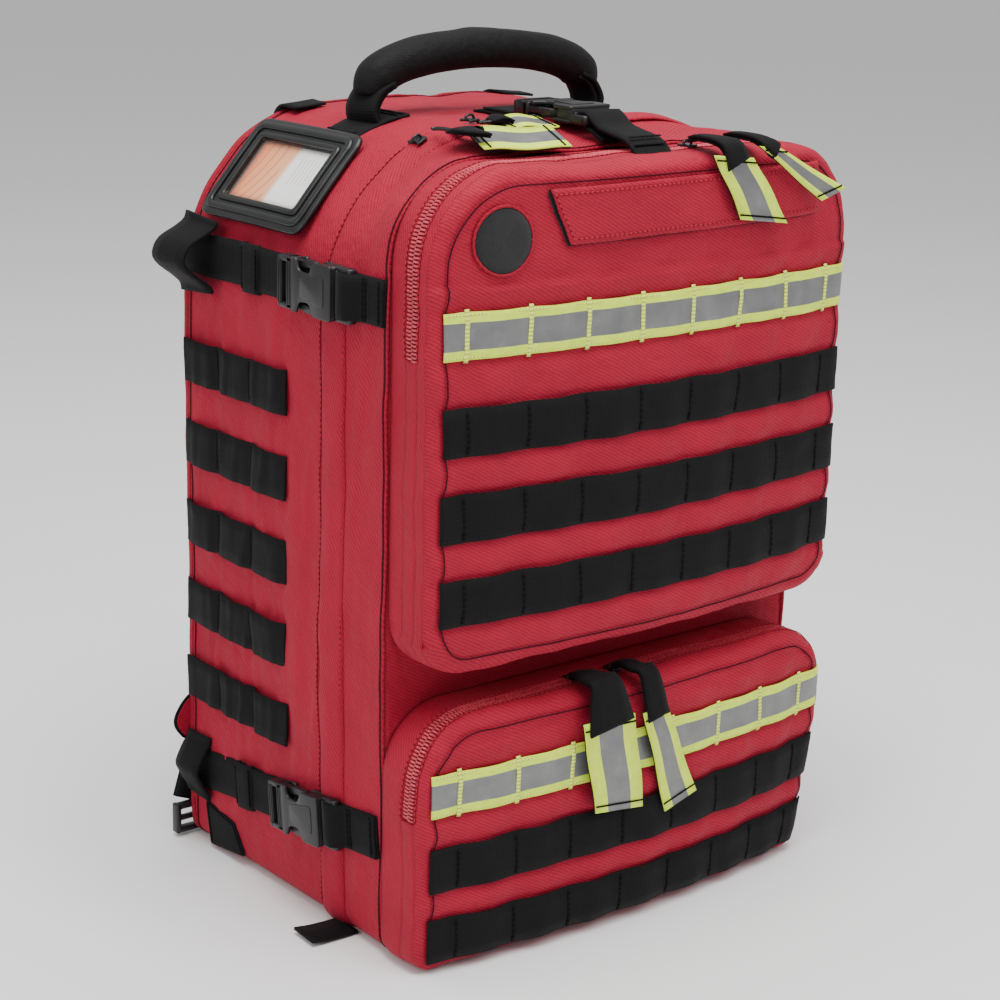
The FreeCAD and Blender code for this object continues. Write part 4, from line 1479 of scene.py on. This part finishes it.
def front_patch(name, outline, mat, lift, t):
    """Flat outline of four (x, z) points laid on the upper pocket front."""
    xs = [p[0] for p in outline]
    rows, cols = 14, int((max(xs) - min(xs)) / 3.0)
    (x0, z0), (x1, z1), (x2, z2), (x3, z3) = outline
    verts, uv = [], []
    for i in range(rows + 1):
        for j in range(cols + 1):
            u, v = j / cols, i / rows
            x = (1 - v) * ((1 - u) * x0 + u * x1) + v * ((1 - u) * x3 + u * x2)
            z = (1 - v) * ((1 - u) * z0 + u * z1) + v * ((1 - u) * z3 + u * z2)
            verts.append(front_point(UPPER, x, z, lift))
            uv.append((x, z))
    ob = make(name, verts, [f[::-1] for f in quads(rows + 1, cols + 1)], mat)
    return thick(sheet_uv(ob, uv), t, 1.0)


DISC_X, DISC_Z = -113, 411
field = front_patch("loop_field", [(-86.5, 434), (116, 436), (119, 408.0), (-72.5, 405.2)], "pile",
                    0.25, 0.9)
disc = []
for r, w in ((0, 1.5), (6, 1.5), (12, 1.5), (16.6, 1.45), (17.2, 0.9), (17.4, 0.2)):
    disc.append([front_point(UPPER, DISC_X + r * math.cos(a), DISC_Z + r * math.sin(a), w)
                 for a in np.linspace(0, 2 * math.pi, 49)[:-1]])
round_patch = make("loop_disc", [p for ring in disc for p in ring], quads(6, 48, True), "pile")
sheet_uv(round_patch, [(p[0], p[2]) for ring in disc for p in ring])
rim_pts = [front_point(UPPER, DISC_X + 18.1 * math.cos(a), DISC_Z + 18.1 * math.sin(a), 0.6)
           for a in np.linspace(0, 2 * math.pi, 60)]
rim_line = ribbon("rim", rim_pts, [front_normal(DISC_X)] * 60, 1.5, 0.9, "tape", 0.0, lanes=1)
put(joined("loop_patches", [field, round_patch, rim_line]), "upper_flap", "hook_loop", "loop_fields")

PANEL = [(-86, 436), (117, 438), (121, 408), (-72, 406)]
HEMS = [((-84, 433), (115, 435)), ((-70, 409), (119, 411)), ((-83.5, 434), (-70, 408))]
panel_parts = [front_patch("name_flap", PANEL, "red", 1.9, 1.2)]
for ends in HEMS:
    panel_parts.append(face_line("stitch", UPPER, ends, 0.8, "red_seam", 3.15, 0.3, 70))
for a, b, w in ((0, 3, 1.6), (3, 2, 0.9)):
    panel_parts.append(face_line("edge", UPPER, (PANEL[a], PANEL[b]), w, "web", 1.5, 0.9, 70))
put(joined("name_panel_flap", panel_parts), "upper_flap", "red_fabric", "name_panel")

# Sliders and pull tags -----------------------------------------------------------------------

def slider_body():
    """Zip slider seen from outside: waisted shield, underplate and bridge."""
    shield = rounded([(-4.2, -5.2), (4.6, -4.4), (4.6, 4.4), (-4.2, 5.2), (-1.5, 0.9), (-1.5, -0.9)],
                     [2, 2, 2, 2, 0.5, 0.5])
    under = rounded([(-3.6, -4.0), (4.0, -3.4), (4.0, 3.4), (-3.6, 4.0)], 1.6)
    bridge = [(-3.2, 0, 2.6), (-2.6, 0, 4.6), (0.2, 0, 5.3), (2.8, 0, 4.6), (3.2, 0, 2.6)]
    return joined("slider", [lifted(plate(shield, 1.5, "metal", 0.5, "shield"), 1.3),
                             lifted(plate(under, 0.9, "metal", 0.3, "under"), -0.9),
                             tube("bridge", bridge, 0.75, "metal")])


slider_source = slider_body()


def slider(node, origin, along, outward):
    """Put a slider at origin: along is its zip's own direction, outward is away from the cloth."""
    a, o = Vector(along).normalized(), Vector(outward).normalized()
    m = strap_frame(origin, a, o.cross(a), o)
    return put(placed(slider_source, node + "_puller", m), node, "slider_metal", node)


def tag_strip(name, a0, a1, b1, b0, curl, normal=(0, -1, 0), seed=1.0):
    """Lime, silver and lime tape between a top edge a0-a1 and a bottom edge b0-b1, on black webbing."""
    a0, a1, b1, b0 = (np.array(p, float) for p in (a0, a1, b1, b0))
    n = np.array(normal, float)
    rows = 26
    lanes = [0.0, 0.24, 0.26, 0.5, 0.74, 0.76, 1.0]
    verts, uv = [], []
    length = np.linalg.norm((b0 + b1) / 2 - (a0 + a1) / 2)
    width = np.linalg.norm(b1 - b0)
    for i in range(rows + 1):
        v = i / rows
        for u in lanes:
            p = (a0 * (1 - u) + a1 * u) * (1 - v) + (b0 * (1 - u) + b1 * u) * v
            wave = curl * math.sin(math.pi * v) * 0.4 + 0.8 * math.sin(2.2 * v * math.pi + seed + u * 1.2)
            verts.append(p + n * wave * min(1.0, 4 * v))
            uv.append((v * length, u * width))
    faces = quads(rows + 1, len(lanes))
    colours = [0, 0, 1, 1, 0, 0] * rows
    tape = sheet_uv(make(name, verts, faces, ["lime", "silver"], colours), uv)
    core = sheet_uv(make(name + "_core", [p - n * 0.15 for p in verts], faces, "web"), uv)
    face = np.cross(verts[len(lanes)] - verts[0], verts[1] - verts[0])
    outside = 1.0 if np.dot(face, n) < 0 else -1.0
    parts = [thick(tape, 0.825, outside), thick(core, 0.75, -outside)]
    for v in (0.10, 0.93):
        k = int(v * rows) * len(lanes)
        line = [p + n * 0.2 for p in verts[k:k + len(lanes)]]
        parts.append(tack(line, n, 1.0, 0.3, 0.9))
    return parts


def wire(ring, end, n):
    """Short wire loop from a slider's bridge to the fold of its tag."""
    ring, end, n = (np.array(p, float) for p in (ring, end, n))
    d = end - ring
    d /= np.linalg.norm(d)
    side = np.cross(d, n) * 2.4
    return tube("wire", [ring + side * 0.4, ring + side + d * 2, end + side, end + d * 1.2, end - side,
                         ring - side + d * 2, ring - side * 0.4], 0.8, "metal")


# Front pockets: each slider sits on the zip and its tag hangs in front of the cloth.
TAG_Y = -152.6
TAGS = {
    "upper_left": ((36, 447), [(-14, 3), (16, 0), (48, -41), (11, -36)]),
    "upper_right": ((63, 447), [(-8, 6), (9, 3), (66, -24), (47, -30)]),
    "lower_left": ((-42, 149), [(-18, 4), (21, 4), (34, -76), (-3, -71)]),
    "lower_right": ((-10, 149), [(-8, 4), (8, 4), (44, -76), (20, -84)]),
}
for key, ((ox, oz), corners) in TAGS.items():
    level, side = key.split("_")
    upper = level == "upper"
    zip_y = UPPER["zip_y"] if upper else LOWER["zip_y"]
    slider(level + "_slider_" + side, (ox, zip_y, oz - 0.2), (1 if side == "left" else -1, 0, 0), (0, 0, 1))
    p0, p1, p2, p3 = (np.array((ox + dx, TAG_Y, oz + dz), float) for dx, dz in corners)
    hang = 0.05 if upper else 0.25
    t0, t1 = p0 + (p3 - p0) * hang, p1 + (p2 - p1) * hang
    parts = tag_strip(key + "_tag", t0, t1, p2, p3, 0.8, seed=ox * 0.1)
    width = np.linalg.norm(t1 - t0) * 0.86
    down = p2 + p3 - p0 - p1
    drop = (t0 + t1) / 2 + down / np.linalg.norm(down) * 5
    fold = smooth_path([(ox, zip_y - 5.5, oz + 6.0), (ox, zip_y - 12, oz + 7.4), (ox, -145, oz + 7.2),
                        (ox + (drop[0] - ox) * 0.35, -151.4, oz + 4.4), drop + (0, -1.4, 0)], 1.6)
    fold_n = []
    for k in range(len(fold)):
        q = fold[min(k + 1, len(fold) - 1)] - fold[max(k - 1, 0)]
        fold_n.append((0, q[2] - 0.01, -q[1] + 0.01))
    reach = 0.62 if upper else 1.0
    grow = 9 + (width * reach - 9) * np.linspace(0, 1, len(fold)) ** 0.8
    parts.append(ribbon("fold", fold, fold_n, grow, 1.5, "web", 0.3, lanes=4, crown=0.5))
    under = [q + (0, 1.6, -1.6) for q in fold]
    parts.append(ribbon("fold", under, fold_n, grow * 0.9, 1.3, "web", 0.0, lanes=4, crown=-0.4))
    parts.append(wire((ox, zip_y + 0.4, oz + 4.4), (ox, zip_y - 6.4, oz + 6.4), (0, 0, 1)))
    node = level + "_pull_tag_" + side
    put(joined(node + "_tape", parts), node, "pull_tag", node)

# Main zip: sliders on top, tags lying on the lid.
for key, origin, roll in (("outer", (-98, -48, 446.9), -25), ("inner", (-63.8, -48, 455.8), -4)):
    a = math.radians(-roll)
    out = (-math.sin(a), 0, math.cos(a))
    slider("main_slider_" + key, np.array(origin) + np.array(out) * 3.0, (math.cos(a), 0, math.sin(a)), out)


def flat_tag(node, pivot, heading, reach_in, reach_out, low, high, lean):
    """Tag that lies on the lid beside its slider, with its folded hanger and wire."""
    h = math.radians(heading)

    def at(u, v, w):
        return (pivot[0] + u * math.cos(h) - v * math.sin(h), pivot[1] + u * math.sin(h) + v * math.cos(h),
                pivot[2] + w)

    split = reach_in + 0.10 * (reach_out - reach_in)
    middle = (low + high) / 2
    parts = tag_strip(node + "_strip", at(split, high, 2.4), at(split, low, lean), at(reach_out, low, lean),
                      at(reach_out, high, 2.4), 0.9, (0, 0, 1), reach_out * 0.1)
    for lift, w in ((1.9, 0.9), (0.5, 0.82)):
        pts = smooth_path([at(5, middle * 0.55, 1.0), at(10, middle * 0.8, lift + 1.4),
                           at(reach_in + 4, middle, lift + 1.6), at(split + 2, middle, lift + 0.6)], 1.6)
        wide = 8 + (abs(high - low) * w - 8) * np.linspace(0, 1, len(pts)) ** 0.9
        parts.append(ribbon("fold", pts, [(0, 0, 1)] * len(pts), wide, 1.3, "web", 0.0, lanes=6, crown=0.8))
    parts.append(tube("wire", [at(0, 4, 1.2), at(4, 5, 2.0), at(9, middle * 0.7, 2.4),
                               at(9, middle * 0.7 - 5, 2.4), at(3, -2, 2.0), at(0, 1, 1.2)], 0.8, "metal"))
    put(joined(node + "_tape", parts), node, "pull_tag", node)


flat_tag("main_pull_tag_outer", (-95.0, -56.0, 456.9), -20, 9, 64, -44, -8, -4.6)
flat_tag("main_pull_tag_inner", (-60.8, -54.0, 458.4), -10, 9, 43, -13, 13, -1.0)


# Back of the pack -----------------------------------------------------------------------------

def cushion(name, x, z, y0, y1, mat, seed, outline=None):
    """Filled pad between two depths: flat behind, domed in front, slack at its edges."""
    nu, nv = 36, 44
    front, back, uv = [], [], []
    for i in range(nv + 1):
        for j in range(nu + 1):
            u, v = j / nu * 2 - 1, i / nv * 2 - 1
            # Square grid pulled into a rounded rectangle.
            k = 1 - 0.10 * (u * v) ** 2
            px = (x[0] + x[1]) / 2 + (x[1] - x[0]) / 2 * u * k
            pz = (z[0] + z[1]) / 2 + (z[1] - z[0]) / 2 * v * k
            if outline is not None:
                px, pz = outline(u * k, v * k)
            rise = (max(0.0, 1 - u ** 4) * max(0.0, 1 - v ** 4)) ** 0.42
            soft = 0.7 * fbm((px, seed, pz), 24.0, seed) * rise
            front.append((px, y0 + (y1 - y0 - 0.6) * rise + soft, pz))
            back.append((px, y0, pz))
            uv.append((px, pz))
    count = len(front)
    grid_faces = quads(nv + 1, nu + 1)
    faces = [f[::-1] for f in grid_faces] + [tuple(a + count for a in f) for f in grid_faces]
    border = (list(range(nu)) + [i * (nu + 1) + nu for i in range(nv)]
              + [nv * (nu + 1) + nu - j for j in range(nu)] + [(nv - i) * (nu + 1) for i in range(nv)])
    faces += [(a, b, b + count, a + count) for a, b in zip(border, border[1:] + border[:1])]
    ob = sheet_uv(make(name, front + back, faces, mat), uv + uv)
    rim_pts = [np.array(front[b]) + np.array((0, 0.8, 0)) for b in border[::3]]
    rim_pts.append(rim_pts[0])
    bind = ribbon("binding", rim_pts, [(0, 1, 0)] * len(rim_pts), 3.2, 1.2, "web", 0.0, lanes=2)
    return joined(name, [ob, bind])


pads = []
for k, (z0, z1) in enumerate(((62, 150), (166, 290), (306, 392))):
    pads.append(cushion("pad", (18, 104), (z0, z1), 105.2, 117.4, "mesh", 2.0 + k))
back_pads = both_sides(joined("back_pad_cushions", pads))
put(back_pads, "pack", "air_mesh", "back_pads")


def fin_outline(u, v):
    top = 98 + (96 - 98) * (u + 1) / 2 - 9 * max(0.0, u) ** 3
    low = 52 + 12 * (u + 1) / 2 + 4 * max(0.0, u) ** 3
    x_in, x_out = 118.0, 165.0 - 4.0 * v * v
    return x_in + (x_out - x_in) * (u + 1) / 2, (top + low) / 2 + (top - low) / 2 * v


fins = both_sides(cushion("hip_fin_cushion", (118, 165), (52, 98), 105.3, 113.6, "red", 5.0, fin_outline))
put(fins, "pack", "red_fabric", "hip_fins")


def strap_pad(name):
    """Curved shoulder pad with a soft bound edge, an over-strap and cross tacks."""
    zs = [445, 440, 385, 360, 300, 280, 200, 190, 128, 120]
    inner_y = [106.0, 106.5, 124.0, 126.0, 130.0, 129.6, 127.0, 126.4, 122.5, 122.5]
    outer_y = [114.0, 118.0, 138.5, 140.0, 144.0, 143.6, 141.0, 140.4, 133.0, 131.5]
    inner_x = [34, 34, 35.5, 36, 43.5, 46, 63.5, 66, 94.4, 98]
    outer_x = [92, 92.4, 96.8, 98, 102.5, 104, 118.5, 120, 132.4, 134]
    steps = np.linspace(443, 122, 90)

    def evened(row):
        """Stations spread over the steps, then smoothed."""
        spread = [np.interp(z, zs[::-1], row[::-1]) for z in steps]
        return np.convolve(np.pad(spread, 4, "edge"), np.ones(9) / 9, "valid")

    verts, uv = [], []
    sides = 40
    yi, yo, xi, xo = (evened(row) for row in (inner_y, outer_y, inner_x, outer_x))
    for k, z in enumerate(steps):
        end = min(1.0, 0.55 + (k / 5.0) * 0.45, 0.55 + ((len(steps) - 1 - k) / 5.0) * 0.45)
        cx, cy = (xi[k] + xo[k]) / 2, (yi[k] + yo[k]) / 2
        a, b = (xo[k] - xi[k]) / 2 * (0.7 + 0.3 * end), (yo[k] - yi[k]) / 2 * end
        for j in range(sides):
            t = 2 * math.pi * j / sides
            c, s = math.cos(t), math.sin(t)
            px = cx + a * math.copysign(abs(c) ** 0.45, c)
            py = cy + b * math.copysign(abs(s) ** 0.8, s)
            wrinkle = 0.6 * fbm((px, py, z), 20.0, 7.0) * abs(s)
            verts.append((px, py + math.copysign(wrinkle, s), z))
            uv.append((j * 3.6, z))
    faces = quads(len(steps), sides, wrap=True)
    faces += [tuple(range(sides))[::-1], tuple((len(steps) - 1) * sides + j for j in range(sides))]
    ob = sheet_uv(make(name, verts, [f[::-1] for f in faces], "lining"), uv)
    pts = [((xi[k] + xo[k]) / 2, yo[k] + 0.9, steps[k]) for k in range(6, len(steps) - 6)]
    rider = ribbon("rider", pts, [(0, 1, 0)] * len(pts), 25, 1.4, "web", 0.0, lanes=4)
    parts = [ob, rider]
    for k in range(14, len(steps) - 10, 18):
        x = (xi[k] + xo[k]) / 2
        line = [(x + dx, yo[k] + 2.6, steps[k]) for dx in np.linspace(-11, 11, 6)]
        parts.append(tack(line, (0, 1, 0), 1.4))
    lifter = smooth_path([(72, 120, 425), (75, 119, 440), (77, 110, 451), (79, 101, 455.6),
                          (80, 92, 455.8), (80, 84, 455.4)], 2.0)
    lifter_n = [(0.2, t[2] + 0.15, -t[1] + 0.15) for t in np.gradient(np.array(lifter), axis=0)]
    parts.append(ribbon("lifter", lifter, lifter_n, 22, 1.5, "web", 0.2, lanes=4))
    for side_x in (xi, xo):
        s = 1 if side_x is xi else -1
        pts = [(side_x[k] + s * 3.4, yo[k] - 1.1, steps[k]) for k in range(3, len(steps) - 3)]
        parts.append(tack(pts, (-0.4 * s, 1, 0), 0.9, 0.6, 0.3))
    return joined(name, parts)


right_pad = strap_pad("shoulder_pad_right")
left_pad = mirrored(right_pad, "shoulder_pad_left")
# Node names give the wearer's side, so each pad is matched to its node by its place.
for pad in (right_pad, left_pad):
    centre = sum(v.co.x for v in pad.data.vertices) / len(pad.data.vertices)
    node = next(n for n in ("shoulder_strap_left", "shoulder_strap_right")
                if (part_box(n)[0][0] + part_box(n)[1][0]) * centre > 0)
    put(pad, "pack", "black_fabric", node)

pts = smooth_path([(116, 127.8, 136), (117.5, 127.0, 122), (128, 121.5, 84), (142, 114.5, 46),
                   (152.5, 110.4, 21)], 3.0)
outward = [np.cross(np.cross(t, (0, 1, 0)), t) for t in np.gradient(np.array(pts), axis=0)]
half_way = len(pts) // 2
doubled = [p + np.array((0.6, 1.9, 0.0)) for p in pts[half_way:]]
tails = [ribbon("tail", pts, outward, 25, 1.6, "web", -0.8, lanes=4, crown=0.2),
         ribbon("tail", doubled, outward[half_way:], 25, 1.5, "web", -0.8, lanes=4)]
put(both_sides(joined("strap_tail_webbing", tails)), "pack", "black_webbing", "strap_webbing")

# Ladder lock: two side rails and three bars (x, y, z spans and corner radius).
LOCK_BARS = [((140.2, 143.6), (105.8, 112.4), (1.8, 21.4), 1.0),
             ((162.4, 165.8), (105.8, 112.4), (1.8, 21.4), 1.0),
             ((141, 165), (106.4, 112.0), (17.4, 21.3), 1.2),
             ((141, 165), (107.2, 111.2), (9.6, 12.8), 1.0),
             ((141, 165), (106.0, 112.4), (1.7, 5.4), 1.3)]
lock = [bevel_box(x, y, z, "plastic", r) for x, y, z, r in LOCK_BARS]
put(both_sides(joined("strap_ladder_locks", lock)), "pack", "black_plastic", "ladder_locks")

tab_corners = [(88, 30), (55, 25), (43, 7), (82, 2)]
on_side = Matrix(((0, 0, 1, 154.5 * MM), (1, 0, 0, 0), (0, 1, 0, 0), (0, 0, 0, 1)))
tab_plate = plate(rounded(tab_corners, 2.0), 1.6, "web", 0.4, "corner_tab", on_side)
tab_lines = []
inside = [(y + (67.0 - y) * 0.12, z + (16.0 - z) * 0.12) for y, z in tab_corners]
for a, b in ((0, 1), (1, 2), (3, 0)):
    (y0, z0), (y1, z1) = inside[a], inside[b]
    line = [(156.1, y0 + (y1 - y0) * k / 8, z0 + (z1 - z0) * k / 8) for k in range(9)]
    tab_lines.append(tack(line, (1, 0, 0), 0.9, 0.35, 0.1))
tabs = both_sides(joined("corner_tab_webbing", [tab_plate] + tab_lines))
put(tabs, "pack", "black_webbing", "corner_tabs")

chest = []
for s in (-1, 1):
    pts = [(s * x, 145.6, 328) for x in np.linspace(22, 74, 18)]
    chest.append(ribbon("chest", pts, [(0, 1, 0)] * len(pts), 20, 1.6, "web", -0.8, lanes=2))
    chest.append(tack([(s * 70, 146.9, 328 + dz) for dz in np.linspace(-8, 8, 5)], (0, 1, 0)))
put(joined("sternum_webbing", chest), "pack", "black_webbing", "sternum_strap")
# The chest buckle is the same pattern in a smaller size.
for node, body, source, x, length in (("sternum_male", "sternum_male", male, -34.0, 1.43),
                                      ("sternum_female", "pack", female, -5.2, 0.61)):
    m = strap_frame((x, 147.0, 328.0), (1, 0, 0), (0, 0, 1), (0, 1, 0))
    clip = placed(source, node + "_clip", m @ Matrix.Diagonal((length, 0.78, 0.64, 1)))
    put(clip, body, "black_plastic", node)

for spare in (male, female, slider_source):
    bpy.data.objects.remove(spare)


# Stage --------------------------------------------------------------------------------------

def soft_light(name, place, aim, size, watts):
    data = bpy.data.lights.new(name, "AREA")
    data.energy, data.size = watts, size
    ob = linked(name, data)
    ob.location = place
    ob.rotation_euler = (Vector(aim) - Vector(place)).to_track_quat("-Z", "Y").to_euler()


floor_mesh = bpy.data.meshes.new("studio_floor")
floor_mesh.from_pydata([(-30, -30, 0), (30, -30, 0), (30, 30, 0), (-30, 30, 0)], [], [(0, 1, 2, 3)])
floor = linked("studio_floor", floor_mesh)
floor.location.z = -0.0004
pale = bpy.data.materials.new("pale_floor")
pale.use_nodes = True
pale.node_tree.nodes["Principled BSDF"].inputs["Base Color"].default_value = (0.93, 0.93, 0.93, 1)
pale.node_tree.nodes["Principled BSDF"].inputs["Roughness"].default_value = 0.6
floor_mesh.materials.append(pale)

world = bpy.data.worlds.new("studio")
world.use_nodes = True
world.node_tree.nodes["Background"].inputs[0].default_value = (1.0, 1.0, 1.0, 1.0)
world.node_tree.nodes["Background"].inputs[1].default_value = 0.58
bpy.context.scene.world = world
soft_light("overhead", (-0.15, -0.3, 2.1), (0, -0.05, 0.35), 1.6, 56)
soft_light("upper_front", (0.25, -0.95, 0.95), (0.02, -0.1, 0.50), 0.4, 3.0)
soft_light("side_fill", (-2.2, -0.3, 1.5), (0, 0, 0.4), 1.4, 15)

camera_data = bpy.data.cameras.new("camera")
camera_data.lens = 81.96
camera_data.sensor_width = 36.0
camera = linked("camera", camera_data)
azimuth, elevation, roll = (math.radians(d) for d in (-39.213, 15.855, 1.464))
forward = Vector((-math.sin(azimuth) * math.cos(elevation), math.cos(azimuth) * math.cos(elevation),
                  -math.sin(elevation)))
right = Vector((math.cos(azimuth), math.sin(azimuth), 0))
up = right.cross(forward)
tilt_right = right * math.cos(roll) + up * math.sin(roll)
tilt_up = -right * math.sin(roll) + up * math.cos(roll)
camera.matrix_world = Matrix((
    (tilt_right.x, tilt_up.x, -forward.x, -0.8500),
    (tilt_right.y, tilt_up.y, -forward.y, -1.0464),
    (tilt_right.z, tilt_up.z, -forward.z, 0.6034),
    (0, 0, 0, 1)))
bpy.context.scene.camera = camera
bpy.context.scene.render.resolution_x = 1000
bpy.context.scene.render.resolution_y = 1000

bpy.context.view_layer.update()
